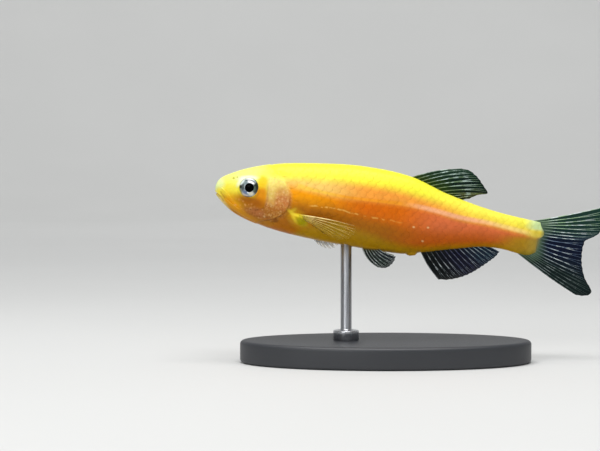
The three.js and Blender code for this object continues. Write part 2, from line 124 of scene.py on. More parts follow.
def hermite(places, values, wanted):
    """A smooth line through values at places, read at the wanted places."""
    values = values.reshape(len(places), -1)
    steps = np.diff(places)
    secants = np.diff(values, axis=0) / steps[:, None]
    slopes = np.concatenate([secants[:1], (secants[1:] + secants[:-1]) / 2, secants[-1:]])
    index = np.clip(np.searchsorted(places, wanted, side="right") - 1, 0, len(steps) - 1)
    width = steps[index][:, None]
    share = ((wanted - places[index]) / steps[index])[:, None]
    start = values[index] * (1 + 2 * share) * (1 - share) ** 2
    end = values[index + 1] * share**2 * (3 - 2 * share)
    leave = slopes[index] * width * share * (1 - share) ** 2
    arrive = slopes[index + 1] * width * share**2 * (share - 1)
    return start + end + leave + arrive


def profile(points):
    """A smooth line of distance and value, even in the root of the distance, as in the solids."""
    places = np.sqrt([place for place, _ in points])
    values = np.array([value for _, value in points], float)

    def line(along):
        wanted = np.sqrt(np.clip(along, 0, points[-1][0]))
        return hermite(places, values, np.ravel(wanted))[:, 0].reshape(np.shape(wanted))

    return line


def curve(points, count):
    """Even steps along a smooth line through points."""
    points = np.asarray(points, float)
    places = np.concatenate([[0], np.cumsum(np.linalg.norm(np.diff(points, axis=0), axis=1) ** 0.5)])
    fine = hermite(places, points, np.linspace(0, places[-1], 40 * len(points)))
    lengths = np.concatenate([[0], np.cumsum(np.linalg.norm(np.diff(fine, axis=0), axis=1))])
    even = np.linspace(0, lengths[-1], count)
    return np.stack([np.interp(even, lengths, column) for column in fine.T], axis=-1)


back = profile(BACK_POINTS)
belly = profile(BELLY_POINTS)
half_width = profile(WIDTH_POINTS)
girth_height = profile(GIRTH_POINTS)


def body_point(along, turn):
    """A point of the body's surface."""
    along, turn = np.broadcast_arrays(np.asarray(along, float), turn)
    upward, sideways = np.cos(turn), np.sin(turn)
    above = upward >= 0
    power = 2 / np.where(above, BACK_ROUNDNESS, BELLY_ROUNDNESS)
    middle = girth_height(along)
    reach = np.where(above, back(along) - middle, middle - belly(along))
    side = half_width(along) * np.sign(sideways) * np.abs(sideways) ** power
    up = middle + reach * np.sign(upward) * np.abs(upward) ** power
    return np.stack([along, side, up], axis=-1)


def body_normal(along, turn):
    """The direction straight out of the body's surface."""
    step = 0.02
    lengthwise = body_point(along + step, turn) - body_point(np.maximum(along - step, 0), turn)
    around = body_point(along, turn + step) - body_point(along, turn - step)
    normal = np.cross(lengthwise, around)
    return normal / np.maximum(np.linalg.norm(normal, axis=-1, keepdims=True), 1e-9)


def skin_side(along, up):
    """How far the body's surface is from the middle at a sight place."""
    middle = girth_height(along)
    above = up >= middle
    reach = np.where(above, back(along) - middle, middle - belly(along))
    power = np.where(above, BACK_ROUNDNESS, BELLY_ROUNDNESS)
    share = np.minimum(np.abs(up - middle) / reach, 1)
    return half_width(along) * (1 - share**power) ** (1 / power)


def coat_depth(along):
    return COAT_DEPTH * (TAIL_COAT + (1 - TAIL_COAT) * smooth(along, BODY_LENGTH, BODY_LENGTH - 2))


# The fish's place: its belly at its height on the rod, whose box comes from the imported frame
def turned(along, up):
    x = along * math.cos(NOSE_UP) + up * math.sin(NOSE_UP)
    z = -along * math.sin(NOSE_UP) + up * math.cos(NOSE_UP)
    return x, z


rod_low, rod_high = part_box("stand_rod")
held_x, held_z = turned(ROD_ALONG, float(belly(ROD_ALONG)))
ORIGIN_X = (rod_low.x + rod_high.x) / 2 / MM - held_x
ORIGIN_Z = rod_high.z / MM - ROD_INTO_BELLY - held_z


def placed(points):
    """From millimetres in the fish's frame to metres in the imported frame."""
    along, side, up = np.moveaxis(np.asarray(points, float), -1, 0)
    x, z = turned(along, up)
    return np.stack([x + ORIGIN_X, side, z + ORIGIN_Z], axis=-1) * MM


# Meshes

TUBE_SIDES = 6


def make_object(name, points, faces, material, **attributes):
    """A smooth-shaded mesh object with named numbers on its points."""
    mesh = bpy.data.meshes.new(name)
    mesh.from_pydata(np.asarray(points).tolist(), [], [list(face) for face in faces])
    mesh.polygons.foreach_set("use_smooth", np.ones(len(mesh.polygons), bool))
    for label, values in attributes.items():
        layer = mesh.attributes.new(label, "FLOAT", "POINT")
        layer.data.foreach_set("value", np.ravel(values).astype(np.float32))
    mesh.materials.append(material)
    mesh.update()
    piece = bpy.data.objects.new(name, mesh)
    bpy.context.scene.collection.objects.link(piece)
    return piece


def belongs(piece, slot, *nodes):
    """Fixes a piece to the body and hides the solids that it stands for; slot is not used."""
    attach(piece, BODY)
    if nodes:
        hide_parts(*nodes)
    return piece


def grid_faces(rows, columns):
    """Four-sided faces between rows of points, each a closed ring; the first point's number is 1."""
    ring = np.arange(rows * columns).reshape(rows, columns) + 1
    following = np.roll(ring, -1, axis=1)
    return np.stack([ring[:-1], ring[1:], following[1:], following[:-1]], axis=-1).reshape(-1, 4)


def closed_rings(rings, start, end):
    """Points and faces of a closed form from rings of points and a point at both ends."""
    rows, columns = rings.shape[:2]
    points = np.concatenate([[start], rings.reshape(-1, 3), [end]])
    last = len(points) - 1
    faces = grid_faces(rows, columns).tolist()
    for column in range(columns):
        following = (column + 1) % columns
        faces.append([0, 1 + column, 1 + following])
        faces.append([last, last - columns + following, last - columns + column])
    return points, faces


def thin_solid(sheet, lift):
    """Points and faces of a closed thin form on both sides of a sheet of rows and columns."""
    rows, columns = sheet.shape[:2]
    count = rows * columns
    points = np.concatenate([(sheet + lift).reshape(-1, 3), (sheet - lift).reshape(-1, 3)])
    grid = np.arange(count).reshape(rows, columns)
    corners = [grid[:-1, :-1], grid[1:, :-1], grid[1:, 1:], grid[:-1, 1:]]
    top = np.stack(corners, axis=-1).reshape(-1, 4)
    under = top[:, ::-1] + count
    rim = np.concatenate([grid[0], grid[1:, -1], grid[-1, -2::-1], grid[-2:0:-1, 0]])
    following = np.roll(rim, -1)
    wall = np.stack([rim, following, following + count, rim + count], axis=-1)
    return points, np.concatenate([top, under, wall])


class Pile:
    """Gathers closed forms, with numbers on their points, for one mesh."""

    def __init__(self):
        self.points, self.faces, self.attributes, self.count = [], [], {}, 0

    def add(self, points, faces, **attributes):
        self.points.append(np.asarray(points))
        self.faces.extend([[corner + self.count for corner in face] for face in faces])
        for label, values in attributes.items():
            full = np.broadcast_to(values, len(points))
            self.attributes.setdefault(label, []).append(full)
        self.count += len(points)

    def make(self, name, material):
        joined = {label: np.concatenate(parts) for label, parts in self.attributes.items()}
        return make_object(name, placed(np.concatenate(self.points)), self.faces, material, **joined)


def tube(path, radii, across, sides=TUBE_SIDES):
    """Points and faces of a closed round tube along a path. across is a direction beside it."""
    path = np.asarray(path, float)
    ahead = np.gradient(path, axis=0)
    ahead /= np.linalg.norm(ahead, axis=1, keepdims=True)
    first = across - ahead * (ahead @ across)[:, None]
    first /= np.linalg.norm(first, axis=1, keepdims=True)
    second = np.cross(ahead, first)
    angles = np.arange(sides) / sides * 2 * math.pi
    rings = (
        path[:, None]
        + first[:, None] * (radii[:, None] * np.cos(angles))[..., None]
        - second[:, None] * (radii[:, None] * np.sin(angles))[..., None]
    )
    return closed_rings(rings, path[0], path[-1])


# Materials

def rgb(red, green, blue):
    """A colour given as it shows on a screen, 0 to 255, as the shader's linear numbers."""
    shown = np.array([red, green, blue]) / 255
    linear = np.where(shown <= 0.04045, shown / 12.92, ((shown + 0.055) / 1.055) ** 2.4)
    return (*linear.tolist(), 1.0)


class Value:
    """What a shader node gives out, a number or a colour, with sums and blends on it."""

    def __init__(self, shades, socket):
        self.shades, self.socket = shades, socket

    def __add__(self, other):
        return self.shades.math("ADD", self, other)

    def __sub__(self, other):
        return self.shades.math("SUBTRACT", self, other)

    def __mul__(self, other):
        return self.shades.math("MULTIPLY", self, other)

    def __truediv__(self, other):
        return self.shades.math("DIVIDE", self, other)

    def __abs__(self):
        return self.shades.math("ABSOLUTE", self)

    def smooth(self, low, high):
        """0 where the number is low, 1 where it is high; low may be the larger one."""
        inputs = {0: self, 1: low, 2: high}
        return self.shades.value("ShaderNodeMapRange", inputs, interpolation_type="SMOOTHSTEP")

    def spread(self, low, high):
        """A number from 0 to 1 as one from low to high."""
        return self * (high - low) + low

    def paint(self, colour, share):
        """This colour with a share of another over it."""
        return self.shades.mix(share, self, colour)

    def shade(self, colour):
        """This colour times another."""
        return self.shades.mix(1.0, self, colour, blend="MULTIPLY")


class Shades:
    """Writes a node tree as short expressions."""

    def __init__(self, tree):
        self.tree = tree

    def put(self, value, socket):
        if isinstance(value, Value):
            self.tree.links.new(value.socket, socket)
        else:
            socket.default_value = value

    def node(self, kind, inputs=None, **settings):
        """A new node; its inputs are given by name or number."""
        node = self.tree.nodes.new(kind)
        for name, setting in settings.items():
            setattr(node, name, setting)
        for name, value in (inputs or {}).items():
            self.put(value, node.inputs[name])
        return node

    def value(self, kind, inputs=None, output=0, **settings):
        return Value(self, self.node(kind, inputs, **settings).outputs[output])

    def math(self, operation, *values):
        return self.value("ShaderNodeMath", dict(enumerate(values)), operation=operation)

    def mix(self, share, under, over, blend="MIX"):
        inputs = {0: share, 6: under, 7: over}
        return self.value("ShaderNodeMix", inputs, 2, data_type="RGBA", blend_type=blend)

    def ramp(self, number, first, *later):
        """A colour that changes with a number: each later one comes in between two values."""
        colour = first
        for paint, start, end in later:
            colour = self.mix(number.smooth(start, end), colour, paint)
        return colour

    def attribute(self, name):
        return self.value("ShaderNodeAttribute", output="Fac", attribute_name=name)

    def noise(self, vector, scale, detail=2.0, roughness=0.5):
        inputs = {"Vector": vector, "Scale": scale, "Detail": detail, "Roughness": roughness}
        return self.value("ShaderNodeTexNoise", inputs, "Fac")

    def grains(self, vector, scale):
        """Round grains: 1 in the middle of each and 0 between them, and a number for each."""
        cells = self.node("ShaderNodeTexVoronoi", {"Vector": vector, "Scale": scale}).outputs
        luck = self.value("ShaderNodeSeparateColor", {0: Value(self, cells["Color"])})
        return Value(self, cells["Distance"]).smooth(0.75, 0.1), luck

    def grey(self, number):
        """A number as a grey colour."""
        return self.value("ShaderNodeCombineColor", {0: number, 1: number, 2: number})

    def line(self, along, points):
        """The height of a side-view line at a distance behind the snout."""
        node = self.node("ShaderNodeFloatCurve", {"Value": along * (1 / LINE_LENGTH)})
        bends = node.mapping.curves[0].points
        for index, (distance, height) in enumerate(points):
            spot = (distance / LINE_LENGTH, height / LINE_HEIGHT + 0.5)
            if index < 2:
                bends[index].location = spot
            else:
                bends.new(*spot)
        node.mapping.update()
        return (Value(self, node.outputs[0]) - 0.5) * LINE_HEIGHT

    def part_place(self):
        """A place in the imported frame, in metres."""
        return self.value("ShaderNodeTexCoord", output="Object")

    def place(self):
        """A place in the fish's own frame, in millimetres."""
        inputs = {
            "Vector": self.part_place(),
            "Location": (ORIGIN_X * MM, 0, ORIGIN_Z * MM),
            "Rotation": (0, NOSE_UP, 0),
            "Scale": (MM, MM, MM),
        }
        return self.value("ShaderNodeMapping", inputs, vector_type="TEXTURE")

    def sight_place(self, place):
        """How far behind the snout a place is, and how high."""
        parts = self.node("ShaderNodeSeparateXYZ", {0: place}).outputs
        return Value(self, parts["X"]), Value(self, parts["Z"])

    def bump(self, height, strength, distance):
        inputs = {"Height": height, "Strength": strength, "Distance": distance}
        return self.value("ShaderNodeBump", inputs)

    def shader(self, inputs):
        """Sets inputs of the material's shader by name."""
        for name, value in inputs.items():
            self.put(value, self.tree.nodes["Principled BSDF"].inputs[name])


LINE_LENGTH = 50.0
LINE_HEIGHT = 20.0


def new_material(name):
    """A material with one Principled shader, and the writer of its node tree."""
    material = bpy.data.materials.new(name)
    material.use_nodes = True
    return material, Shades(material.node_tree)


# Markings of skin and scales, by side-view lines and spots
PALE_YELLOW = rgb(242, 246, 122)
FACE_YELLOW = rgb(248, 232, 70)
BACK_YELLOW = rgb(246, 242, 60)
REAR_YELLOW = rgb(248, 238, 78)
CHEEK_GOLD = rgb(244, 184, 8)
JAW_BROWN = rgb(172, 110, 6)
SNOUT_WHITE = rgb(222, 240, 176)
JAW_PALE = rgb(216, 196, 132)
JAW_AMBER = rgb(206, 120, 6)
CHIN_AMBER = rgb(248, 172, 10)
CHIN_BROWN = rgb(206, 140, 6)
EYE_ORANGE = rgb(232, 144, 4)
EYE_YELLOW = rgb(250, 206, 4)
EYE_BROWN = rgb(170, 92, 2)
EYE_WHITE = rgb(236, 242, 226)
COVER_CREAM = rgb(250, 232, 116)
COVER_TAN = rgb(232, 180, 92)
COVER_PINK = rgb(206, 126, 62)
COVER_BROWN = rgb(176, 106, 28)
# Pale flecks on the gill cover and throat; also the colour of the flank's painted glints
PALE_FLECK_AND_GLINT = rgb(255, 226, 160)
GRANULE_TAN = rgb(236, 180, 104)
THROAT_PINK = rgb(186, 112, 66)
THROAT_BROWN = rgb(124, 68, 4)
FRONT_ORANGE = rgb(255, 164, 4)
MIDDLE_ORANGE = rgb(226, 110, 2)
REAR_ORANGE = rgb(228, 116, 64)
LOWER_BROWN = rgb(176, 104, 2)
REAR_BROWN = rgb(198, 92, 2)
# Olive of the belly: its own colour, darkened further by painted shade
SHADED_BELLY_OLIVE = rgb(176, 132, 10)
TAN = rgb(250, 206, 108)
SALMON = rgb(250, 164, 64)
REAR_GOLD = rgb(252, 208, 70)
STRIPE_YELLOW = rgb(255, 204, 76)
STRIPE_CREAM = rgb(255, 214, 128)
STRIPE_ORANGE = rgb(250, 160, 40)
DOT_AMBER = rgb(255, 200, 96)
STRIPE_PINK = rgb(255, 184, 136)
STEM_OLIVE = rgb(180, 134, 16)
FIN_ROOT_GOLD = rgb(214, 168, 12)
FIN_ROOT_GREEN = rgb(170, 166, 6)
FIN_ROOT_YELLOW = rgb(250, 226, 56)
TAIL_MINT = rgb(206, 232, 172)
TAIL_OLIVE = rgb(140, 122, 20)
TAIL_TAN = rgb(178, 136, 20)
TAIL_HAZE = rgb(112, 130, 102)
TAIL_KHAKI = rgb(164, 146, 64)
TAIL_YELLOW = rgb(226, 204, 66)
# Painted shade for the skin's creases and folds
CREASE_SHADE_BROWN = rgb(150, 118, 60)
SCALE_EDGE = rgb(232, 214, 176)

BACK_LINE = [
    (0, 0.6), (3, 1.5), (5.6, 2.4), (7.65, 2.35), (9.6, 2.55), (12.5, 2.75), (15.6, 2.95), (19, 3.05),
    (21.4, 2.85), (23.9, 2.5), (26.2, 2.2), (28.5, 1.86), (31.2, 1.4), (34.2, 0.98), (38.5, 0.6),
]
STRIPE_LINE = [
    (8.6, 1.7), (11.5, 1.42), (15.2, 1.22), (19.2, 1.34), (22, 1.44), (25.2, 1.26), (28.7, 0.86),
    (32, 0.78), (34.3, 0.56), (36.7, 0.3), (38.5, 0.1),
]
DOTTED_LINE = [(10.8, -0.38), (14.4, -0.35), (16, -0.5), (18, -0.64), (20.1, -0.72), (23, -0.7)]
LOWER_LINE = [(8, -0.6), (12, -0.5), (16, -0.9), (20, -1.3), (25, -1.5), (30, -1.0), (36, -0.9)]
BELLY_LINE = [
    (9.6, -4.2), (11.2, -2.9), (13, -2.2), (17, -2.3), (23, -3.3), (28, -2.5), (32, -1.75), (36, -1.2),
]
# Painted highlights: three small glints on the flank
GLINTS = [
    (PALE_FLECK_AND_GLINT, centre, (0.13, 0.1), 1.6, 0, 0.6)
    for centre in ((23.4, -1.04), (25.05, -0.84), (24.7, -2.5))
]


def spot(along, up, centre, size, soft, tilt):
    """1 inside an oval at a sight place, 0 outside it. soft is the share that fades."""
    cosine, sine = math.cos(math.radians(tilt)), math.sin(math.radians(tilt))
    ahead, above = along - centre[0], up - centre[1]
    one = ahead * (cosine / size[0]) + above * (sine / size[0])
    other = ahead * (-sine / size[1]) + above * (cosine / size[1])
    away = one.shades.math("SQRT", one * one + other * other)
    return away.smooth(1 + soft / 2, 1 - soft / 2)


def paint_spots(colour, along, up, spots):
    """A colour with soft ovals of other colours over it, one after another."""
    for paint, centre, size, soft, tilt, strength in spots:
        colour = colour.paint(paint, spot(along, up, centre, size, soft, tilt) * strength)
    return colour


HEAD_SPOTS = [
    # colour, centre, size, softness, tilt, strength
    (PALE_YELLOW, (4.6, 2.3), (2.6, 1.0), 1.2, 20, 0.8),
    (SNOUT_WHITE, (0.25, 0.55), (0.7, 0.75), 1.2, 40, 0.75),
    (SNOUT_WHITE, (0.05, -0.2), (0.26, 0.5), 1.0, 0, 0.9),
    (FACE_YELLOW, (0.75, -0.7), (0.75, 0.5), 1.2, -40, 0.8),
    (JAW_AMBER, (1.5, -1.15), (0.85, 0.26), 1.4, -40, 0.5),
    (JAW_PALE, (0.95, -1.4), (1.6, 0.2), 1.9, -43, 0.8),
    (CHIN_AMBER, (2.7, -1.75), (1.1, 0.4), 1.4, -32, 0.7),
    (CHIN_BROWN, (3.8, -2.65), (1.7, 0.35), 1.4, -22, 0.6),
    (EYE_ORANGE, (5.45, -0.15), (0.72, 1.3), 1.0, 4, 0.95),
    (EYE_YELLOW, (5.4, 1.5), (0.6, 0.75), 1.0, 0, 0.9),
    (EYE_BROWN, (4.35, -1.0), (1.8, 0.62), 1.3, -8, 0.9),
    (THROAT_PINK, (5.6, -2.2), (1.7, 0.5), 1.2, -8, 0.7),
    (EYE_WHITE, (2.8, 1.05), (0.25, 0.6), 1.2, -25, 0.6),
    (EYE_WHITE, (3.6, 1.6), (1.05, 0.3), 1.2, 12, 0.7),
]


def paint_cover(s, where, along, up):
    """The gill cover's own colours, from cream at the top to brown, with pale grains."""
    height = up + s.noise(where, 1.5, detail=3.0).spread(-0.5, 0.5)
    colour = s.ramp(
        height, COVER_CREAM, (COVER_TAN, 1.9, 0.5), (COVER_PINK, 1.2, -0.1), (COVER_BROWN, -0.6, -1.8))
    front = spot(along, height, (6.55, 0.55), (0.5, 1.3), 1.6, 8)
    colour = colour.paint(COVER_CREAM, front * 0.6)
    grain, luck = s.grains(where, 3.0)
    fewer_below = up.smooth(-2.0, -0.6).spread(0.3, 1.0)
    colour = colour.paint(PALE_FLECK_AND_GLINT, grain * luck.smooth(0.3, 0.9) * fewer_below * 0.3)
    specks = s.noise(where, 4.6, detail=3.0, roughness=0.7).smooth(0.52, 0.68)
    colour = colour.paint(PALE_FLECK_AND_GLINT, specks * 0.3)
    clouds = s.noise(where, 2.4, detail=3.0).smooth(0.45, 0.7)
    colour = colour.paint(COVER_TAN, clouds * 0.4)
    return colour.paint(COVER_BROWN, grain * luck.smooth(0.25, 0.0) * 0.35)


def paint_head(s, where, along, up):
    """The head's colours: pale above, gold on the cheek, brown below, and its spots."""
    colour = s.ramp(up, CHEEK_GOLD, (FACE_YELLOW, -1.2, 0.2), (PALE_YELLOW, 0.1, 1.6))
    colour = colour.paint(JAW_BROWN, (up - along * 0.25).smooth(-1.3, -3.2))
    colour = paint_spots(colour, along, up, HEAD_SPOTS)
    granule, luck = s.grains(where, 2.6)
    cheek = spot(along, up, (3.5, -1.5), (1.25, 0.5), 1.0, -10)
    colour = colour.paint(GRANULE_TAN, granule * luck.smooth(0.3, 0.7) * cheek * 0.8)
    on_cover = along.smooth(5.9, 6.25) * up.smooth(-3.0, -2.2) * up.smooth(2.7, 1.9)
    colour = colour.paint(paint_cover(s, where, along, up), on_cover)
    blotches = s.noise(where, 1.4).smooth(0.42, 0.6)
    under_cover = spot(along, up, (7.5, -2.75), (1.7, 0.24), 1.2, -6)
    colour = colour.paint(THROAT_BROWN, blotches * under_cover * 0.75)
    throat = spot(along, up, (5.7, -2.3), (1.5, 0.55), 1.2, -8)
    crumbs, fate = s.grains(where, 3.4)
    colour = colour.paint(THROAT_BROWN, crumbs * fate.smooth(0.5, 0.2) * throat * 0.6)
    colour = colour.paint(PALE_FLECK_AND_GLINT, crumbs * fate.smooth(0.7, 0.95) * throat * 0.45)
    wander = s.noise(where, 0.9).spread(-0.9, 0.9)
    nape = (along + wander).smooth(3.6, 6.6) * up.smooth(1.8, 2.7)
    return colour.paint(BACK_YELLOW, nape)


def paint_flank(s, where, along, up):
    """The flank's colours, from the dark belly, which is partly painted shade, up to the yellow back."""
    height = up + s.noise(where, 0.55).spread(-0.15, 0.15)
    flank = s.ramp(along, FRONT_ORANGE, (MIDDLE_ORANGE, 11, 18), (REAR_ORANGE, 21, 27))
    brown = s.ramp(along, LOWER_BROWN, (REAR_BROWN, 19, 26))
    colour = flank.paint(brown, (s.line(along, LOWER_LINE) - height).smooth(-1.3, 0.7))
    # The olive belly: partly its own colour and partly painted shade
    colour = colour.paint(SHADED_BELLY_OLIVE, (s.line(along, BELLY_LINE) - height).smooth(-0.6, 0.7))
    colour = colour.paint(STEM_OLIVE, along.smooth(32.5, 36.5) * up.smooth(0.0, -0.9))
    colour = paint_stripe(s, where, along, up, colour)
    colour = paint_dots(s, where, along, up, colour)
    yellow = s.ramp(along, BACK_YELLOW, (REAR_YELLOW, 22, 31))
    return colour.paint(yellow, (height - s.line(along, BACK_LINE)).smooth(-0.75, 0.65))


def paint_stripe(s, where, along, up, colour):
    """The tan band over the flank and the pale stripe at its lower edge."""
    over_stripe = up - s.line(along, STRIPE_LINE)
    band = s.ramp(along, TAN, (SALMON, 12, 18), (REAR_GOLD, 24, 31))
    colour = colour.paint(band, over_stripe.smooth(-0.8, 0.45) * 0.95)
    stripe = s.ramp(
        along, STRIPE_YELLOW, (STRIPE_ORANGE, 12, 16), (STRIPE_PINK, 21, 25), (STRIPE_CREAM, 30, 35))
    breadth = along.smooth(17, 25).spread(0.2, 0.32) + along.smooth(12, 9) * 0.25
    thin = (abs(over_stripe) / breadth).smooth(1.3, 0.2)
    strength = along.smooth(8.9, 9.8) * s.noise(where, 1.6).spread(0.65, 1.25)
    return colour.paint(stripe, thin * strength)


def paint_dots(s, where, along, up, colour):
    """The broken pale line along the flank, denser in front, and a few glints behind it."""
    drift = s.noise(where, 1.0, detail=1.0).spread(-0.14, 0.14)
    off_line = abs(up + drift - s.line(along, DOTTED_LINE))
    denser = along.smooth(17, 11).spread(0.0, 0.13)
    broken = (s.noise(where, 1.3) + denser).smooth(0.46, 0.58)
    length = along.smooth(10.9, 11.8) * along.smooth(23.0, 20.5)
    fainter = along.smooth(20, 14).spread(0.35, 0.7)
    colour = colour.paint(DOT_AMBER, off_line.smooth(0.14, 0.03) * broken * length * fainter)
    return paint_spots(colour, along, up, GLINTS)


FIN_ROOT_SPOTS = [
    # as the head's spots; the yellow ones are streaks
    (FIN_ROOT_GOLD, (10.0, -2.1), (1.3, 0.85), 1.2, -35, 0.6),
    (FIN_ROOT_GREEN, (10.5, -2.3), (0.75, 0.5), 1.2, -30, 0.8),
    (FIN_ROOT_YELLOW, (10.15, -1.76), (0.75, 0.17), 1.6, -5, 0.9),
    (FIN_ROOT_YELLOW, (9.2, -1.5), (0.5, 0.17), 1.6, -27, 0.55),
    (FIN_ROOT_YELLOW, (9.65, -2.2), (0.6, 0.17), 1.6, -49, 0.5),
    (FIN_ROOT_YELLOW, (9.4, -1.2), (0.35, 0.17), 1.6, 35, 0.35),
]
STEM_END_PAINTS = [
    # colour, where it comes in along and up, strength
    (TAIL_MINT, (35.9, 37.7), (0.45, 1.0), 0.9),
    (TAIL_TAN, (34.0, 37.0), (0.1, -0.6), 0.8),
    (TAIL_KHAKI, (36.2, 37.8), (0.3, -0.3), 0.6),
]


def paint_fin_roots(along, up, colour):
    """The greenish flesh at the pectoral fin and the pale and olive ends of the tail stem."""
    colour = paint_spots(colour, along, up, FIN_ROOT_SPOTS)
    for paint, along_span, up_span, strength in STEM_END_PAINTS:
        colour = colour.paint(paint, along.smooth(*along_span) * up.smooth(*up_span) * strength)
    knob = spot(along, up, (37.9, 0.3), (1.1, 0.4), 1.4, 6)
    colour = colour.paint(TAIL_YELLOW, knob * 0.85)
    olive = along.smooth(35.2, 37.0) * up.smooth(-1.5, -2.2)
    colour = colour.paint(TAIL_OLIVE, olive * 0.85)
    hazy_from = up.smooth(0.1, -0.3).spread(38.1, 37.7)
    return colour.paint(TAIL_HAZE, (along - hazy_from).smooth(0.0, 0.6) * 0.7)


def markings_group():
    """The fish's colours as one node group, read alike by the skin and the scales."""
    tree = bpy.data.node_groups.new("markings", "ShaderNodeTree")
    tree.interface.new_socket("Color", in_out="OUTPUT", socket_type="NodeSocketColor")
    s = Shades(tree)
    where = s.place()
    along, up = s.sight_place(where)
    off_middle = up + 0.3
    on_head = (along + off_middle * off_middle * 0.18).smooth(9.3, 8.6)
    colour = paint_flank(s, where, along, up).paint(paint_head(s, where, along, up), on_head)
    colour = paint_fin_roots(along, up, colour)
    mottle = s.noise(where, 2.2, detail=3.0).spread(0.88, 1.12)
    s.put(colour.shade(s.grey(mottle)), s.node("NodeGroupOutput").inputs["Color"])
    return tree


MARKINGS = markings_group()


def markings(shades):
    return shades.value("ShaderNodeGroup", output="Color", node_tree=MARKINGS)


def skin_material():
    material, s = new_material("danio_skin")
    grain = s.noise(s.place(), 7.0, detail=3.0)
    plain = markings(s)
    # Painted shade: the colour darkens in the skin's creases, folds and pits
    s.shader({
        "Base Color": plain.paint(plain.shade(CREASE_SHADE_BROWN), s.attribute("crease") * 0.8),
        "Roughness": grain.spread(0.28, 0.5),
        "Normal": s.bump(grain, 0.35, 0.06 * MM),
        "Specular IOR Level": 0.14,
        "Subsurface Weight": 0.12,
        "Subsurface Radius": (1.0, 0.5, 0.15),
        "Subsurface Scale": 0.4 * MM,
    })
    return material


def scale_material():
    material, s = new_material("danio_scales")
    plain = markings(s)
    rim = s.attribute("rim").smooth(0.72, 1.0)
    colour = plain.paint(plain.shade(SCALE_EDGE), rim * 0.2)
    tint = s.attribute("tint").spread(0.94, 1.05)
    grain = s.noise(s.place(), 9.0)
    s.shader({
        "Base Color": colour.shade(s.grey(tint)),
        "Roughness": grain.spread(0.26, 0.44),
        "Normal": s.bump(grain, 0.25, 0.04 * MM),
        "Specular IOR Level": 0.14,
    })
    return material


# Skin

def off_line(along, up, line):
    """Distance to a side-view line, the side of it, and the share of its length passed."""
    here = np.stack([along, up], axis=-1)
    best = np.full(np.shape(along), np.inf)
    side = np.zeros(np.shape(along))
    passed = np.zeros(np.shape(along))
    last = len(line) - 1
    for index in range(last):
        step = line[index + 1] - line[index]
        share = np.clip((here - line[index]) @ step / (step @ step), 0, 1)
        away = here - line[index] - share[..., None] * step
        distance = np.hypot(away[..., 0], away[..., 1])
        nearer = distance < best
        best = np.where(nearer, distance, best)
        turn = step[0] * away[..., 1] - step[1] * away[..., 0]
        side = np.where(nearer, np.sign(turn), side)
        passed = np.where(nearer, (index + share) / last, passed)
    return best, side, passed


def groove(along, up, points, width, depth):
    """A soft furrow along a side-view line, shallower towards its ends."""
    distance, _, passed = off_line(along, up, curve(points, 40))
    ends = smooth(passed / GROOVE_FADE) * smooth((1 - passed) / GROOVE_FADE)
    return -depth * bell(distance, width) * ends


GROOVE_FADE = 0.15
GROOVES = [
    # side-view line, width, depth, and how strong the painted shade in it is; the last one is a ridge
    (JAW_FOLD, 0.08, 0.06, 0.7),
    ([(6.0, 1.75), (6.12, 0.6), (6.3, -0.9), (5.9, -1.6), (4.6, -1.9), (3.2, -1.75)], 0.08, 0.07, 0.25),
    ([(2.62, 0.2), (2.95, -0.55), (3.7, -0.98), (4.6, -0.82), (5.2, -0.1), (5.3, 0.8)], 0.07, 0.03, 0.2),
    ([(1.5, -1.75), (2.8, -2.5), (4.2, -3.05), (5.2, -3.3)], 0.07, 0.04, 0.5),
    ([(5.0, -2.35), (6.0, -2.55), (7.2, -2.45)], 0.07, 0.045, 0.4),
    ([(1.2, 0.55), (1.7, 0.9), (2.6, 0.9)], 0.08, 0.015, 0.0),
    ([(6.22, 1.6), (6.33, 0.5), (6.5, -0.8), (6.2, -1.6)], 0.1, -0.03, 0.0),
]
GILL_LIFT = 0.085
GILL_DROP = 0.08
MOUTH_DEPTH, MOUTH_WIDTH = 0.22, 0.05
LIP_HEIGHT, LIP_OFF_MOUTH, LIP_WIDTH = 0.05, 0.15, 0.09
NOSTRIL_DEPTH, NOSTRIL_RIM = 0.16, 0.03


def head_relief(along, up):
    """How far the head's skin stands out of or into the plain form, and how much shade is painted into
    its folds, mouth slit and nostril pits.
    """
    cuts = [(groove(along, up, line, width, depth), dark) for line, width, depth, dark in GROOVES]
    folds = sum(cut for cut, _ in cuts)
    shadow = sum(cut * dark for cut, dark in cuts)
    distance, _, passed = off_line(along, up, curve(MOUTH_LINE, 60))
    slit = -MOUTH_DEPTH * bell(distance, MOUTH_WIDTH) * smooth((1 - passed) / 0.12)
    lips = LIP_HEIGHT * bell(distance - LIP_OFF_MOUTH, LIP_WIDTH) * smooth((1 - passed) / 0.3)
    pits, rims = 0, 0
    for (place, height), radius in NOSTRILS:
        away = np.hypot(along - place, up - height)
        pits = pits - NOSTRIL_DEPTH * bell(away, radius)
        rims = rims + NOSTRIL_RIM * bell(away - 1.5 * radius, 0.5 * radius)
    # Painted shade: darker in the grooves, the mouth slit and the nostril pits
    crease = np.clip(-(shadow + 0.22 * slit + 0.4 * pits) / 0.1, 0, 1)
    return folds + slit + lips + pits + rims, crease


def gill_relief(along, up):
    """The gill cover's raised hind edge and the fold behind it, with painted shade along the fold."""
    distance, side, passed = off_line(along, up, curve(GILL_EDGE, 60))
    behind = distance * side
    loose = smooth(passed, 0.14, 0.3) * smooth(passed, 0.98, 0.8)
    lift = GILL_LIFT * smooth(behind, -2.2, -0.25) * smooth(behind, 0.02, -0.12)
    drop = -GILL_DROP * smooth(behind, -0.06, 0.06) * smooth(behind, 0.9, 0.1)
    # Painted shade along the fold behind the cover's edge, stronger on its lower part
    dark = 0.05 + 0.3 * smooth(passed, 0.6, 0.75)
    return (lift + drop) * loose, bell(behind - 0.05, 0.09) * loose * dark, behind


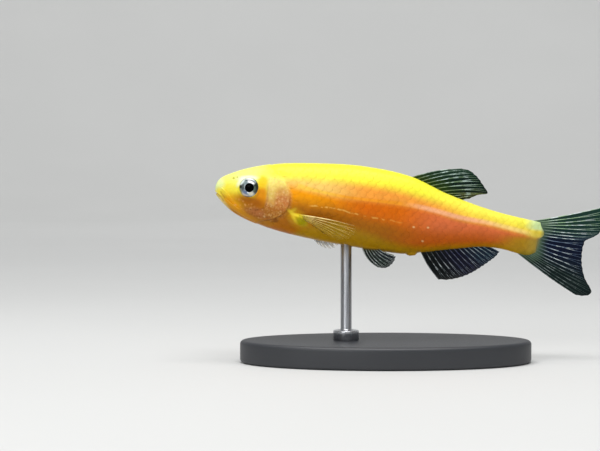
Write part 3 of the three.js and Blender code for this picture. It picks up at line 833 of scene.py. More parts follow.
def eye_axes(mirror):
    """The left eye's outward, forward and upward directions, or the right one's."""
    outward = np.array([-math.sin(EYE_FORWARD), -math.cos(EYE_FORWARD) * math.cos(EYE_UPWARD), 0.0])
    outward[2] = math.cos(EYE_FORWARD) * math.sin(EYE_UPWARD)
    rearward = np.array([math.cos(EYE_FORWARD), -math.sin(EYE_FORWARD), 0.0])
    upward = np.cross(rearward, outward)
    upward *= np.sign(upward[2])
    flip = np.array([1, mirror, 1])
    return outward * flip, rearward * flip, upward * flip


LID_REACH = 0.42
LID_HEIGHT, LID_RIM = 0.12, 0.07
ORBIT_DEPTH = 0.45


def open_orbit(points, mirror):
    """Draws the skin together round an eye and sinks it behind the eyeball."""
    outward, rearward, upward = eye_axes(mirror)
    centre = EYE_PLACE * (1, mirror, 1)
    from_eye = points - centre
    depth = from_eye @ outward
    x, z = from_eye @ rearward, from_eye @ upward
    radius = np.hypot(x, z)
    near = (radius < EYE_RADIUS + LID_REACH) & (depth > -1.5)
    off = np.clip((radius - EYE_RADIUS) / LID_REACH, -1, 1)
    drawn = EYE_RADIUS + LID_REACH * np.sign(off) * np.abs(off) ** 1.9
    lid = LID_HEIGHT + LID_RIM * bell(drawn - EYE_RADIUS - 0.1, 0.09)
    out = np.where(off >= 0, depth + (lid - depth) * smooth(off, 1.0, 0.1), -ORBIT_DEPTH)
    shrink = np.where(radius > 1e-6, drawn / np.maximum(radius, 1e-6), 1)
    x, z = x * shrink, z * shrink
    moved = centre + outward * out[..., None] + rearward * x[..., None] + upward * z[..., None]
    return np.where(near[..., None], moved, points)


HEAD_END = 10.0
TAIL_TAPER = 0.7
SKIN_SIDES = 260


def skin_stations():
    """Distances behind the snout, close together on the head and at the snout's tip."""
    tip = np.linspace(0, 1, 30)[1:] ** 2
    head = np.arange(1.07, HEAD_END, 0.07)
    trunk = np.linspace(HEAD_END, BODY_LENGTH, 150)
    return np.concatenate([tip, head, trunk])


LOBE_ALONG, LOBE_UP = 9.9, -2.2
LOBE_LENGTH, LOBE_DEPTH = 1.1, 0.75
LOBE_HEIGHT = 0.32
VENT_ALONG = 23.95
VENT_AHEAD, VENT_BEHIND = 0.85, 0.45
VENT_HALF_WIDTH = 0.5
VENT_HEIGHT = 0.3


def swellings(points):
    """How far the fleshy root of the pectoral fins and the vent stand out of the plain form."""
    along, side, up = np.moveaxis(points, -1, 0)
    lobe_away = np.hypot((along - LOBE_ALONG) / LOBE_LENGTH, (up - LOBE_UP) / LOBE_DEPTH)
    lobe = LOBE_HEIGHT * smooth(lobe_away, 1.2, 0.1) * (np.abs(side) > 0.5)
    vent_off = along - VENT_ALONG
    vent_length = np.where(vent_off < 0, VENT_AHEAD, VENT_BEHIND)
    vent_away = np.hypot(vent_off / vent_length, side / VENT_HALF_WIDTH)
    return lobe + VENT_HEIGHT * smooth(vent_away, 1.2, 0.45) * (up < -2)


def tail_taper(last):
    """Rings that draw the end of the tail stem in towards the fin's rays."""
    middle = last.mean(axis=0)
    length = TAIL_TAPER * (0.15 + 0.85 * bell(last[:, 2] - 0.6, 0.7))
    taper = []
    for share in (0.25, 0.5, 0.75, 1.0):
        ring = last.copy()
        ring[:, 0] += length * share
        ring[:, 1] *= 1 - 0.8 * share
        ring[:, 2] = middle[2] + (ring[:, 2] - middle[2]) * (1 - 0.12 * share**2)
        taper.append(ring)
    return taper, middle + (TAIL_TAPER * 0.8, 0, 0)


def make_skin(material):
    along, turn = np.meshgrid(skin_stations(), even_turns(SKIN_SIDES), indexing="ij")
    plain = body_point(along, turn)
    seen_along, seen_up = plain[..., 0], plain[..., 2]
    gill, gill_crease, behind = gill_relief(seen_along, seen_up)
    head, crease = head_relief(seen_along, seen_up)
    coat = coat_depth(along) * smooth(behind, -0.1, 0.3)
    relief = gill + head - coat + swellings(plain)
    rings = plain + body_normal(along, turn) * relief[..., None]
    for mirror in (1, -1):
        rings = open_orbit(rings, mirror)
    # Painted shade in the head's folds and behind the gill cover's edge
    crease = np.maximum(crease, gill_crease)

    taper, tail = tail_taper(rings[-1])
    points, faces = closed_rings(np.concatenate([rings, taper]), np.zeros(3), tail)
    marks = np.concatenate([[0], crease.ravel(), np.zeros(len(taper) * SKIN_SIDES + 1)])
    skin = make_object("skin", placed(points), faces, material, crease=marks)
    nodes = ("head", "operculum_left", "operculum_right", "trunk", "caudal_peduncle")
    return belongs(skin, "skin", *nodes)


# Scales

def arc_tables():
    """For even distances behind the snout, the arc round the half section at even turns."""
    stations = np.linspace(0.5, BODY_LENGTH, 380)
    turns = np.linspace(0, math.pi, 181)
    along, turn = np.meshgrid(stations, turns, indexing="ij")
    steps = np.linalg.norm(np.diff(body_point(along, turn)[..., 1:], axis=1), axis=-1)
    arcs = np.concatenate([np.zeros((len(stations), 1)), np.cumsum(steps, axis=1)], axis=1)
    return stations, turns, arcs


STATIONS, TURNS, ARCS = arc_tables()
SIDE_ARC = np.array([np.interp(math.pi / 2, TURNS, arcs) for arcs in ARCS])


def turn_at(along, arc):
    """The turn at an arc below the widest line of the flank, at each distance."""
    index = np.clip(np.round((along - STATIONS[0]) / (STATIONS[1] - STATIONS[0])), 0, len(STATIONS) - 1)
    index = index.astype(int)
    whole = np.interp(along, STATIONS, SIDE_ARC) + arc
    turns = np.empty(np.shape(along))
    for station in np.unique(index):
        here = index == station
        arcs = ARCS[station]
        total = arcs[-1]
        lap = whole[here]
        past = np.where(lap < 0, -lap, np.where(lap > total, 2 * total - lap, lap))
        turn = np.interp(past, arcs, TURNS)
        turns[here] = np.where(lap < 0, -turn, np.where(lap > total, 2 * math.pi - turn, turn))
    return turns


FIRST_SCALE = 5.2
SCALES_IN_ROW = 40
ROWS_EACH_WAY = int(8 / SCALE_ROW)
BARE_STEM_END = 0.7
BARE_GILL_FOLD = 0.12


def scale_roots():
    """Distance and arc of every scale's root on the right flank, in staggered rows."""
    row = np.arange(-ROWS_EACH_WAY, ROWS_EACH_WAY + 1)[:, None]
    index = np.arange(SCALES_IN_ROW)
    start = FIRST_SCALE + 0.5 * SCALE_STEP * (row % 2)
    along = start + index * SCALE_STEP * (1.04 - 0.1 * (index / 32))
    arc = row * SCALE_ROW * (1 - 0.16 * smooth(along, 14, 36))
    whole = np.interp(along, STATIONS, SIDE_ARC) + arc
    total = np.interp(along, STATIONS, ARCS[:, -1])
    spare = 0.25 * SCALE_ROW
    fits = (whole > -spare) & (whole < total + spare) & (along <= BODY_LENGTH - BARE_STEM_END)
    along, arc = along[fits], arc[fits]
    up = body_point(along, turn_at(along, arc))[:, 2]
    distance, side, _ = off_line(along, up, curve(GILL_EDGE, 80))
    behind = distance * side > BARE_GILL_FOLD
    return np.stack([along[behind], arc[behind]], axis=-1)


SCALE_HALF_DEPTH = 0.009
SCALE_FRONT = -0.2
SCALE_RISE = 0.34
SCALE_SLOPE = 0.28
SCALE_COLUMNS = 9
SCALE_LENGTHS = 8
SCALE_HALF = 0.86 * SCALE_ROW
SCALE_PATCH = 0.003


def scale_form():
    """Places on one scale: along and round the body, and the shares of its length and half width."""
    across = np.sin(np.linspace(-math.pi / 2, math.pi / 2, SCALE_COLUMNS))
    length = np.sin(np.linspace(0, math.pi / 2, SCALE_LENGTHS))
    along_share, across_share = np.meshgrid(length, across, indexing="ij")
    hind = 0.5 + 0.68 * np.sqrt(1 - 0.98 * across_share**2)
    local_along = (SCALE_FRONT + (hind - SCALE_FRONT) * along_share) * SCALE_STEP
    return local_along, across_share * SCALE_HALF, along_share, across_share


def unwrap_scales(coat, roots, along_share, across_share):
    """Gives each scale a small patch at its root's place on an unwrap of the body's form."""
    layer = coat.data.uv_layers.new(name="OFBake")
    root_turn = turn_at(roots[:, 0], roots[:, 1])
    place = np.stack([roots[:, 0] / BODY_LENGTH, root_turn / math.pi], -1) * 0.96 + 0.02
    local = np.stack([(along_share - 0.5).ravel(), (across_share / 2).ravel()], axis=-1) * SCALE_PATCH
    spots = (place[:, None] + np.concatenate([local, local])).reshape(-1, 2)
    corners = np.empty(len(coat.data.loops), int)
    coat.data.loops.foreach_get("vertex_index", corners)
    layer.data.foreach_set("uv", np.clip(spots[corners], 0, 1).ravel())


def make_scales(name, mirror, roots, material):
    """Overlapping scales on one flank, each a closed plate that follows the body's form."""
    local_along, local_arc, along_share, across_share = scale_form()
    sunk = 0.6 * smooth(local_along / SCALE_STEP, 0.1, SCALE_FRONT)
    rise = SCALE_RISE + SCALE_SLOPE * local_along / SCALE_STEP - 0.12 * across_share**2 - sunk
    rim = np.maximum(along_share, np.abs(across_share))

    small = 1 - 0.14 * smooth(roots[:, 0], 14, 36)
    draw = np.random.default_rng(11)
    size = (small * draw.uniform(0.95, 1.05, len(roots)))[:, None, None]
    tilt = draw.uniform(0.94, 1.06, len(roots))[:, None, None]
    along = np.minimum(roots[:, 0, None, None] + local_along * size, BODY_LENGTH)
    arc = roots[:, 1, None, None] + local_arc * size
    turn = turn_at(along.ravel(), arc.ravel()).reshape(along.shape)
    normal = body_normal(along, turn)
    depth = coat_depth(along)
    surface = body_point(along, turn) - depth[..., None] * normal
    gill, _, _ = gill_relief(surface[..., 0], surface[..., 2])
    lift = rise * tilt * depth + np.minimum(gill, 0)
    half_depth = SCALE_HALF_DEPTH * (1 - 0.6 * rim**3)
    sheets = surface + normal * (lift - half_depth)[..., None]

    pile = Pile()
    flip = np.array([1, mirror, 1])
    tint = draw.uniform(0, 1, len(roots))
    for index in range(len(roots)):
        thickness = normal[index] * half_depth[..., None]
        points, faces = thin_solid(sheets[index] * flip, thickness * flip)
        if mirror > 0:
            faces = faces[:, ::-1]
        pile.add(points, faces, tint=tint[index], rim=np.tile(rim.ravel(), 2))
    coat = pile.make(name, material)
    unwrap_scales(coat, roots, along_share, across_share)
    return belongs(coat, "skin")


# Eyes

EYE_SPOTS = [
    # colour, centre and size as shares of the eye's radius, softness, tilt, strength
    (rgb(120, 138, 140), (-0.48, 0.42), (0.2, 0.26), 1.0, 0, 0.8),
    (rgb(62, 70, 68), (-0.62, -0.05), (0.16, 0.46), 1.0, 12, 0.85),
    (rgb(232, 244, 236), (-0.8, 0.5), (0.2, 0.42), 0.9, -28, 0.95),
    (rgb(238, 238, 236), (-0.1, 0.93), (0.6, 0.14), 0.9, 4, 0.9),
    (rgb(34, 38, 8), (-0.86, -0.06), (0.15, 0.19), 0.8, 0, 0.95),
    (rgb(150, 138, 52), (-0.8, -0.54), (0.14, 0.34), 0.9, 35, 0.7),
    (rgb(28, 34, 16), (0.74, 0.06), (0.27, 0.6), 0.7, 0, 0.95),
    (rgb(92, 110, 90), (0.66, -0.05), (0.1, 0.26), 1.0, 0, 0.8),
    # Painted highlight: a white glint above the pupil
    (rgb(252, 253, 255), (0.16, 0.58), (0.38, 0.16), 0.7, -18, 1.0),
    (rgb(96, 112, 150), (-0.26, -0.58), (0.3, 0.16), 0.9, -30, 0.9),
    (rgb(228, 222, 200), (0.36, -0.6), (0.26, 0.2), 0.9, 35, 0.9),
    # Painted highlight: a small glint below the pupil
    (rgb(236, 240, 250), (0.05, -0.55), (0.11, 0.08), 0.8, 0, 0.9),
    (rgb(202, 186, 172), (-0.24, -0.84), (0.4, 0.1), 0.9, -16, 0.85),
    # Painted shadow along the iris's lower rim, under the eyeball
    (rgb(80, 44, 6), (0.05, -0.99), (0.42, 0.08), 0.9, 0, 0.9),
]


def eye_material():
    """The iris: white above, blue below, dark at both sides, with a thin dark arc on top, painted glints
    above and below the pupil and a painted shadow along its lower rim.
    """
    material, s = new_material("danio_eye")
    right, top = s.attribute("rearward"), s.attribute("upward")
    streaks = s.noise(s.place(), 3.4, detail=3.0)
    colour = s.mix(streaks.smooth(0.35, 0.65), rgb(104, 120, 126), rgb(170, 182, 184))
    colour = paint_spots(colour, right, top, EYE_SPOTS)
    radius = s.math("SQRT", right * right + top * top)
    arc = abs(radius - 0.77).smooth(0.07, 0.02) * top.smooth(0.5, 0.68)
    s.shader({
        "Base Color": colour.paint(rgb(66, 78, 68), arc * 0.85),
        "Roughness": streaks.spread(0.25, 0.4),
        "Metallic": 0.1,
        "Coat Weight": 0.1,
        "Coat Roughness": 0.05,
    })
    return material


def pupil_material():
    material, s = new_material("danio_pupil")
    s.shader({
        "Base Color": s.mix(s.noise(s.place(), 4.0), rgb(1, 2, 2), rgb(5, 6, 6)),
        "Roughness": 0.06,
        "Specular IOR Level": 0.01,
    })
    return material


def dome(radius):
    """How far the eyeball's front stands out at a distance from its middle."""
    ball = EYE_RADIUS + LID_OVERLAP
    return EYE_BULGE * np.sqrt(np.clip(1 - (radius / ball) ** 2, 0, 1))


def eye_solid(radii, heights, mirror):
    """Closed form of the given radii and heights turned about an eye's axis, and its places."""
    outward, rearward, upward = eye_axes(mirror)
    centre = EYE_PLACE * (1, mirror, 1)
    turns = even_turns(96)
    shift = smooth(radii, EYE_RADIUS, PUPIL_RADIUS)[:, None]
    x = radii[:, None] * np.cos(turns) + shift * PUPIL_SHIFT[0]
    z = radii[:, None] * np.sin(turns) + shift * PUPIL_SHIFT[1]
    rings = centre + outward * heights[:, None, None] + rearward * x[..., None] + upward * z[..., None]
    points, faces = closed_rings(rings, rings[0].mean(axis=0), rings[-1].mean(axis=0))
    if mirror > 0:
        faces = [face[::-1] for face in faces]
    right, top = (np.concatenate([[0], places.ravel(), [0]]) / EYE_RADIUS for places in (x, z))
    return points, faces, right, top


EYE_SINK = 0.06
LENS_HEIGHT = 0.05
PUPIL_RIM = 0.035


def make_iris(name, mirror, material, node):
    """The eyeball: a silver iris with a rim round its hollow middle, and a bowl behind."""
    ball = EYE_RADIUS + LID_OVERLAP
    hollow = np.linspace(0.05, PUPIL_RADIUS - 0.06, 6)
    ring = np.linspace(PUPIL_RADIUS - 0.03, ball, 26)
    angles = np.linspace(0, math.pi / 2, 10)[1:-1]
    radii = np.concatenate([hollow, ring, ball * np.cos(angles)])
    rim = PUPIL_RIM * bell(ring - PUPIL_RADIUS - 0.07, 0.05)
    fronts = np.concatenate([dome(hollow) - 0.2, dome(ring) - EYE_SINK + rim])
    heights = np.concatenate([fronts, -EYE_SINK - (EYE_DEPTH - EYE_SINK) * np.sin(angles)])
    points, faces, right, top = eye_solid(radii, heights, mirror)
    eye = make_object(name, placed(points), faces, material, rearward=right, upward=top)
    return belongs(eye, "eye", node)


def make_pupil(name, mirror, material):
    """The raised black pupil."""
    span = np.linspace(0.04, 1, 14)
    bulge = LENS_HEIGHT * np.sqrt(1 - 0.95 * span**2)
    front = dome(0.0) - EYE_SINK + bulge + 0.01
    radii = np.concatenate([span * PUPIL_RADIUS, [PUPIL_RADIUS * 0.9, 0.1]])
    heights = np.concatenate([front + dome(span * PUPIL_RADIUS) - dome(0.0), [dome(0.0) - 0.25] * 2])
    points, faces, _, _ = eye_solid(radii, heights, mirror)
    return belongs(make_object(name, placed(points), faces, material), "eye")


# Fins

FINS = {
    "dorsal": {
        "root": [(21.9, 0, 4.3), (24.1, 0, 3.85), (26.2, 0, 3.1), (27.9, 0, 2.5)],
        "edge": [(28.1, 0, 6.5), (29.0, 0, 6.42), (30.05, 0, 5.78), (30.85, 0, 4.95),
                 (31.25, 0, 4.5), (31.5, 0, 4.12), (30.4, 0, 3.76), (29.5, 0, 3.2)],
        "rays": 11, "bow": (0.3, 0.1), "ray_size": 0.85, "fork": 0.3, "flesh_length": 0.2,
    },
    "anal": {
        "root": [(24.6, 0, -3.4), (27.0, 0, -2.75), (29.4, 0, -2.1), (31.6, 0, -1.8)],
        "edge": [(27.35, 0, -6.7), (28.4, 0, -6.58), (29.45, 0, -6.25), (30.5, 0, -5.74),
                 (31.35, 0, -5.13), (32.15, 0, -4.44), (32.85, 0, -3.76), (33.5, 0, -3.08),
                 (33.9, 0, -2.42)],
        "rays": 15, "bow": (0.2, -0.08), "ray_size": 0.75, "lean": 0.82, "flesh_length": 0.2,
    },
    "caudal": {
        "root": [(36.4, 0, 1.5), (37.5, 0, 1.3), (37.8, 0, 0.7), (37.8, 0, 0.05), (37.8, 0, -0.25),
                 (37.7, 0, -1.0), (37.3, 0, -1.7), (35.5, 0, -1.9)],
        "edge": [(45.3, 0, 4.72), (45.7, 0, 4.0), (45.6, 0, 2.8), (44.95, 0, 1.4), (44.3, 0, 0.88),
                 (43.65, 0, 0.45), (43.48, 0, -0.05), (43.43, 0, -0.9), (43.6, 0, -2.2),
                 (44.2, 0, -3.86), (45.2, 0, -5.2), (45.2, 0, -5.65), (44.5, 0, -6.0), (43.5, 0, -6.03)],
        "rays": 20, "bow": (-0.14, -0.15), "ray_size": 0.8, "fork": 0.5, "flesh_length": 0.3,
    },
    "pectoral": {
        "root": [(10.15, -2.25, -1.66), (10.35, -2.25, -1.88), (10.55, -2.2, -2.12)],
        "edge": [(16.57, -5.2, -1.85), (16.88, -5.2, -2.38), (16.5, -4.9, -3.2),
                 (15.5, -4.3, -3.7), (14.1, -3.65, -3.7), (12.8, -3.05, -3.15)],
        "rays": 10, "bow": (0.12, 0.15), "ray_size": 0.55, "lead": 2.2, "flesh_length": 0.3, "bare": 1,
    },
    "pelvic": {
        "root": [(17.9, -0.75, -4.0), (18.7, -0.7, -4.05), (19.5, -0.6, -4.1)],
        "edge": [(20.1, -1.8, -6.3), (20.9, -2.0, -6.2), (21.55, -1.95, -5.72),
                 (21.85, -1.85, -5.2), (21.95, -1.75, -4.75)],
        "rays": 7, "bow": (0.42, 0.12), "ray_size": 0.7, "flesh_length": 0.25,
    },
}
FAR_PECTORAL_DROP = math.radians(24)
FAR_PECTORAL_SIZE = 0.9
FAR_PECTORAL_NOTCH = 0.7


def fin_surface(fin):
    """A function that gives places on a fin: share of the way across it, and from root to edge."""
    root, edge = curve(fin["root"], 200), curve(fin["edge"], 200)
    steps = np.linspace(0, 1, 200)
    normal = np.cross(edge[0] - root[0], edge[-1] - root[0])
    normal /= np.linalg.norm(normal)
    first_bow, last_bow = fin["bow"]
    lean = fin.get("lean", 1)

    def at(across, reach):
        start = np.stack([np.interp(across, steps, column) for column in root.T], axis=-1)
        end = np.stack([np.interp(across**lean, steps, column) for column in edge.T], axis=-1)
        ray = end - start
        aside = np.cross(ray, normal)
        aside /= np.linalg.norm(aside, axis=-1, keepdims=True)
        bow = (first_bow + (last_bow - first_bow) * across) * 4 * reach * (1 - reach)
        wave = 0.1 * np.sin(5.2 * across + 2.6 * reach) * reach
        return start + ray * reach[..., None] + aside * bow[..., None] + normal * wave[..., None]

    return at, normal


def fin_flesh(fin, distance):
    """1 at a fin's root, which has the body's colours, and 0 further out."""
    return smooth(distance / fin["flesh_length"], 2.4, 0.5)


WEB_HALF_DEPTH, WEB_ROOT_DEPTH = 0.022, 0.2
RAY_ROOT, RAY_TIP = 0.085, 0.04
FORK_SPREAD, TWIG_SPREAD = 0.24, 0.16


def make_membrane(label, fin, surface, draw, material, nodes, change, notch):
    """A fin's membrane, thicker at its root, with a ragged edge drawn in between the rays."""
    at, normal = surface
    rays = fin["rays"]
    columns, rows = 8 * (rays - 1) + 1, 26
    steps = np.linspace(0, 1, columns)
    across, share = np.meshgrid(steps, np.linspace(0, 1, rows))
    length = np.linalg.norm(at(steps, np.ones(columns)) - at(steps, np.zeros(columns)), axis=-1)
    between = np.abs(np.sin(math.pi * steps * (rays - 1)))
    ragged = np.interp(steps, np.linspace(0, 1, 3 * rays), draw.uniform(0.6, 1.4, 3 * rays))
    reach = share * (1 - (0.02 + notch * between * ragged) / length)
    distance = reach * length
    half_depth = WEB_HALF_DEPTH + WEB_ROOT_DEPTH * np.exp(-distance / fin["flesh_length"])
    points, faces = thin_solid(at(across, reach), normal * half_depth[..., None])
    marks = {"reach": reach, "across": across, "flesh": fin_flesh(fin, distance)}
    marks = {key: np.tile(mark.ravel(), 2) for key, mark in marks.items()}
    membrane = make_object(f"{label}_membrane", placed(change(points)), faces, material, **marks)
    return belongs(membrane, "fin", *nodes)


def make_rays(label, fin, surface, draw, material, change):
    """A fin's rays, which fork twice towards the edge, but for the first and the last."""
    at, normal = surface
    rays = fin["rays"]
    gap = 1 / (rays - 1)
    size = fin.get("ray_size", 1)
    pile = Pile()

    def add_ray(start, end, centre, spread, tint):
        thick = size * (1 + (fin.get("lead", 1) - 1) * smooth(centre, 0.15, 0.0))
        root_radius, tip_radius = RAY_ROOT * thick, RAY_TIP * size
        reach = np.linspace(start, end, max(5, int(24 * (end - start))))
        drift = spread * gap * smooth(reach, start, 1.05)
        waver = 0.05 * gap * np.sin(9 * reach + 40 * centre) * reach
        path = at(np.clip(centre + drift + waver, 0, 1), reach)
        radii = (root_radius + (tip_radius - root_radius) * reach**0.8) * (0.8 if spread else 1)
        points, faces = tube(path, radii, normal)
        marks = np.concatenate([[start], np.repeat(reach, TUBE_SIDES), [end]])
        length = np.linalg.norm(path[-1] - path[0]) / (end - start)
        flesh = fin_flesh(fin, marks * length)
        pile.add(change(points), faces, across=centre, reach=marks, tint=tint, flesh=flesh)

    for index in range(rays - fin.get("bare", 0)):
        centre = index * gap
        tint = draw.uniform(0, 1)
        if index in (0, rays - 1):
            add_ray(0.0, 0.99, centre, 0, tint)
            continue
        fork = fin.get("fork", 0.42) + draw.uniform(-0.06, 0.06)
        twig = fork + draw.uniform(0.26, 0.34)
        add_ray(0.0, fork + 0.02, centre, 0, tint)
        for side in (-1, 1):
            add_ray(fork, 0.98, centre, FORK_SPREAD * side, tint)
            middle = centre + FORK_SPREAD * side * gap * float(smooth(twig, fork, 1.05))
            add_ray(twig, 0.97, middle, TWIG_SPREAD * side, tint)
    return belongs(pile.make(f"{label}_rays", material), "fin")


def as_it_is(points):
    return points


def make_fin(label, kind, web, bony, nodes, change=as_it_is, notch=0.06):
    """A fin's membrane and rays, after its entry in FINS."""
    fin = FINS[kind]
    surface = fin_surface(fin)
    draw = np.random.default_rng(len(label) + fin["rays"])
    make_membrane(label, fin, surface, draw, web, nodes, change, notch)
    make_rays(label, fin, surface, draw, bony, change)


def mirrored(points):
    return points * (1, -1, 1)


def dropped(points):
    """The far pectoral fin: mirrored, smaller, and turned down about its first ray's root."""
    hinge = np.array(FINS["pectoral"]["root"][0]) * (1, -1, 1)
    off = (mirrored(points) - hinge) * FAR_PECTORAL_SIZE
    cosine, sine = math.cos(FAR_PECTORAL_DROP), math.sin(FAR_PECTORAL_DROP)
    along = off[..., 0] * cosine + off[..., 2] * sine
    up = off[..., 2] * cosine - off[..., 0] * sine
    return hinge + np.stack([along, off[..., 1], up], axis=-1)


def shade_across(s, first, middle, last):
    """A colour that changes across a fin, from its first ray to its last."""
    return s.ramp(s.attribute("across"), first, (middle, 0.1, 0.45), (last, 0.5, 0.8))


def web_material(name, near, across, clear, thick, edge=1.0, near_end=0.3, last_edge=1.0):
    """A smoky membrane: its colour near the root and across it, and how see-through it is."""
    material, s = new_material(name)
    where = s.place()
    reach = s.attribute("reach") + s.noise(where, 0.8).spread(-0.12, 0.12)
    colour = s.mix(reach.smooth(0.04, near_end), near, shade_across(s, *across))
    flesh = s.attribute("flesh")
    veil = s.noise(where, 1.1).smooth(0.3, 0.7).spread(clear, thick)
    veil = veil * reach.smooth(1.05, 0.7).spread(edge, 1.0)
    veil = veil * s.attribute("across").smooth(0.95, 0.45).spread(last_edge, 1.0)
    s.shader({
        "Base Color": colour.paint(markings(s), flesh),
        "Alpha": s.math("MAXIMUM", veil, flesh),
        "Roughness": s.noise(where, 4.0).spread(0.28, 0.42),
        "Normal": s.bump(s.noise(where, 6.0), 0.3, 0.05 * MM),
        "Specular IOR Level": 0.12,
    })
    return material


RAY_JOINTS = 34
JOINT_DARK = rgb(30, 40, 44)


def ray_material(name, near, across, glint, near_end=0.2, dim_last=1.0):
    """Bony rays: their colours, with broken glints along them and fine dark joints."""
    material, s = new_material(name)
    where = s.place()
    reach, place_across = s.attribute("reach"), s.attribute("across")
    colour = s.mix(reach.smooth(0.02, near_end), near, shade_across(s, *across))
    dashes = s.noise(where, 0.95, detail=3.0, roughness=0.6).smooth(0.44, 0.6)
    halfway = reach.smooth(0.15, 0.45) * reach.smooth(1.02, 0.75)
    share = dashes * halfway * s.attribute("tint").spread(0.4, 1.0)
    share = share * place_across.smooth(0.95, 0.5).spread(dim_last, 1.0)
    share = share * place_across.smooth(0.4, 0.15).spread(1.0, 1.5)
    joints = s.math("FRACT", reach * RAY_JOINTS).smooth(0.2, 0.05)
    colour = colour.paint(glint, share).paint(JOINT_DARK, joints * 0.3)
    s.shader({
        "Base Color": colour.paint(markings(s), s.attribute("flesh")),
        "Roughness": s.noise(where, 3.0).spread(0.22, 0.42),
    })
    return material


def clear_ray_material(name, last_alpha, tip_alpha=0.1):
    """The pectoral fins' rays: the first one cream, the others paler and fainter in turn."""
    material, s = new_material(name)
    where = s.place()
    reach, across = s.attribute("reach"), s.attribute("across")
    colour = shade_across(s, rgb(255, 226, 150), rgb(232, 204, 104), rgb(196, 164, 50))
    colour = s.mix(reach.smooth(0.0, 0.25), rgb(240, 216, 70), colour)
    fading = reach.smooth(1.0, 0.4).spread(tip_alpha, 1.0)
    fainter = across.smooth(0.95, 0.05).spread(last_alpha, 1.0)
    broken = s.noise(where, 1.2).smooth(0.35, 0.6).spread(0.55, 1.0)
    s.shader({
        "Base Color": colour.paint(markings(s), s.attribute("flesh")),
        "Alpha": fading * fainter * broken,
        "Roughness": s.noise(where, 3.0).spread(0.25, 0.42),
    })
    return material


def make_middle_fins():
    """The dorsal, anal and tail fins."""
    across = rgb(24, 50, 36), rgb(8, 30, 24), rgb(18, 28, 8)
    web = web_material("dorsal_web", rgb(36, 58, 8), across, 0.94, 1.0, near_end=0.6)
    across = rgb(74, 104, 80), rgb(104, 134, 94), rgb(104, 108, 44)
    bony = ray_material("mint_rays", rgb(88, 106, 22), across, rgb(200, 226, 218), near_end=0.45)
    make_fin("dorsal", "dorsal", web, bony, ["dorsal_fin"])

    across = rgb(4, 10, 12), rgb(8, 10, 32), rgb(14, 32, 50)
    web = web_material("anal_web", rgb(20, 26, 14), across, 0.95, 1.0, 0.85)
    across = rgb(52, 60, 60), rgb(62, 68, 104), rgb(110, 142, 150)
    bony = ray_material("pale_rays", rgb(44, 50, 44), across, rgb(206, 218, 222))
    make_fin("anal", "anal", web, bony, ["anal_fin"])

    across = rgb(26, 54, 46), rgb(4, 14, 38), rgb(6, 24, 24)
    web = web_material("caudal_web", rgb(76, 100, 78), across, 0.95, 1.0)
    across = rgb(156, 192, 148), rgb(76, 98, 128), rgb(40, 62, 58)
    bony = ray_material(
        "tail_rays", rgb(84, 104, 84), across, rgb(226, 240, 240), near_end=0.4, dim_last=0.35)
    make_fin("caudal", "caudal", web, bony, ["caudal_fin_upper", "caudal_fin_lower"])


def make_paired_fins():
    """The pelvic and pectoral fins."""
    across = rgb(12, 24, 22), rgb(8, 24, 18), rgb(16, 28, 34)
    web = web_material("pelvic_web", rgb(60, 62, 30), across, 0.9, 0.98, 0.7)
    across = rgb(150, 156, 152), rgb(88, 106, 98), rgb(110, 122, 112)
    bony = ray_material("pelvic_rays", rgb(150, 140, 120), across, rgb(232, 240, 240))
    make_fin("pelvic_left", "pelvic", web, bony, ["pelvic_fin_left"])
    make_fin("pelvic_right", "pelvic", web, bony, ["pelvic_fin_right"], mirrored)

    across = rgb(168, 140, 24), rgb(164, 132, 12), rgb(160, 122, 10)
    web = web_material("pectoral_web", rgb(176, 154, 10), across, 0.16, 0.32, 0.0, last_edge=0.0)
    cream = clear_ray_material("cream_rays", 0.05)
    make_fin("pectoral_left", "pectoral", web, cream, ["pectoral_fin_left"])
    across = rgb(104, 100, 78), rgb(112, 106, 80), rgb(96, 92, 76)
    web = web_material("far_pectoral_web", rgb(110, 100, 60), across, 0.3, 0.6, 0.2)
    cream = clear_ray_material("far_cream_rays", 0.8, 0.6)
    node = "pectoral_fin_right"
    make_fin("pectoral_right", "pectoral", web, cream, [node], dropped, FAR_PECTORAL_NOTCH)


# Feelers

FEELERS = {
    "rostral": [(0.7, 0.1, -0.3), (0.85, 0.0, 0.08), (1.5, -0.45, 0.16), (2.2, -1.05, 0.14)],
    "maxillary": [(1.45, -1.1, -0.3), (1.7, -1.3, 0.08), (2.7, -1.85, 0.18), (3.8, -2.3, 0.16)],
}
FEELER_RADII = (0.075, 0.045, 0.02)


def make_feeler(label, path, mirror, material, node):
    """A feeler along a path of distance, height and distance out of the cheek."""
    points = [(along, -float(skin_side(along, up)) - out, up) for along, up, out in path]
    line = curve(points, 40) * (1, mirror, 1)
    radii = np.interp(np.linspace(0, 1, 40), [0, 0.3, 1], FEELER_RADII)
    places, faces = tube(line, radii, np.array([0, 0, 1.0]), sides=12)
    if mirror > 0:
        faces = [face[::-1] for face in faces]
    return belongs(make_object(label, placed(places), faces, material), "barbel", node)


def feeler_material():
    material, s = new_material("danio_feeler")
    grain = s.noise(s.place(), 5.0)
    s.shader({
        "Base Color": markings(s).paint(PALE_YELLOW, grain.spread(0.0, 0.12)),
        "Roughness": grain.spread(0.35, 0.5),
        "Specular IOR Level": 0.2,
    })
    return material


# Stand

BASE_BEVEL = 0.45 * MM
ROD_RADIUS = 0.65 * MM
ROD_BEVEL = 0.15 * MM
COLLAR_RADIUS = 1.5 * MM
COLLAR_HEIGHT = 1.15 * MM


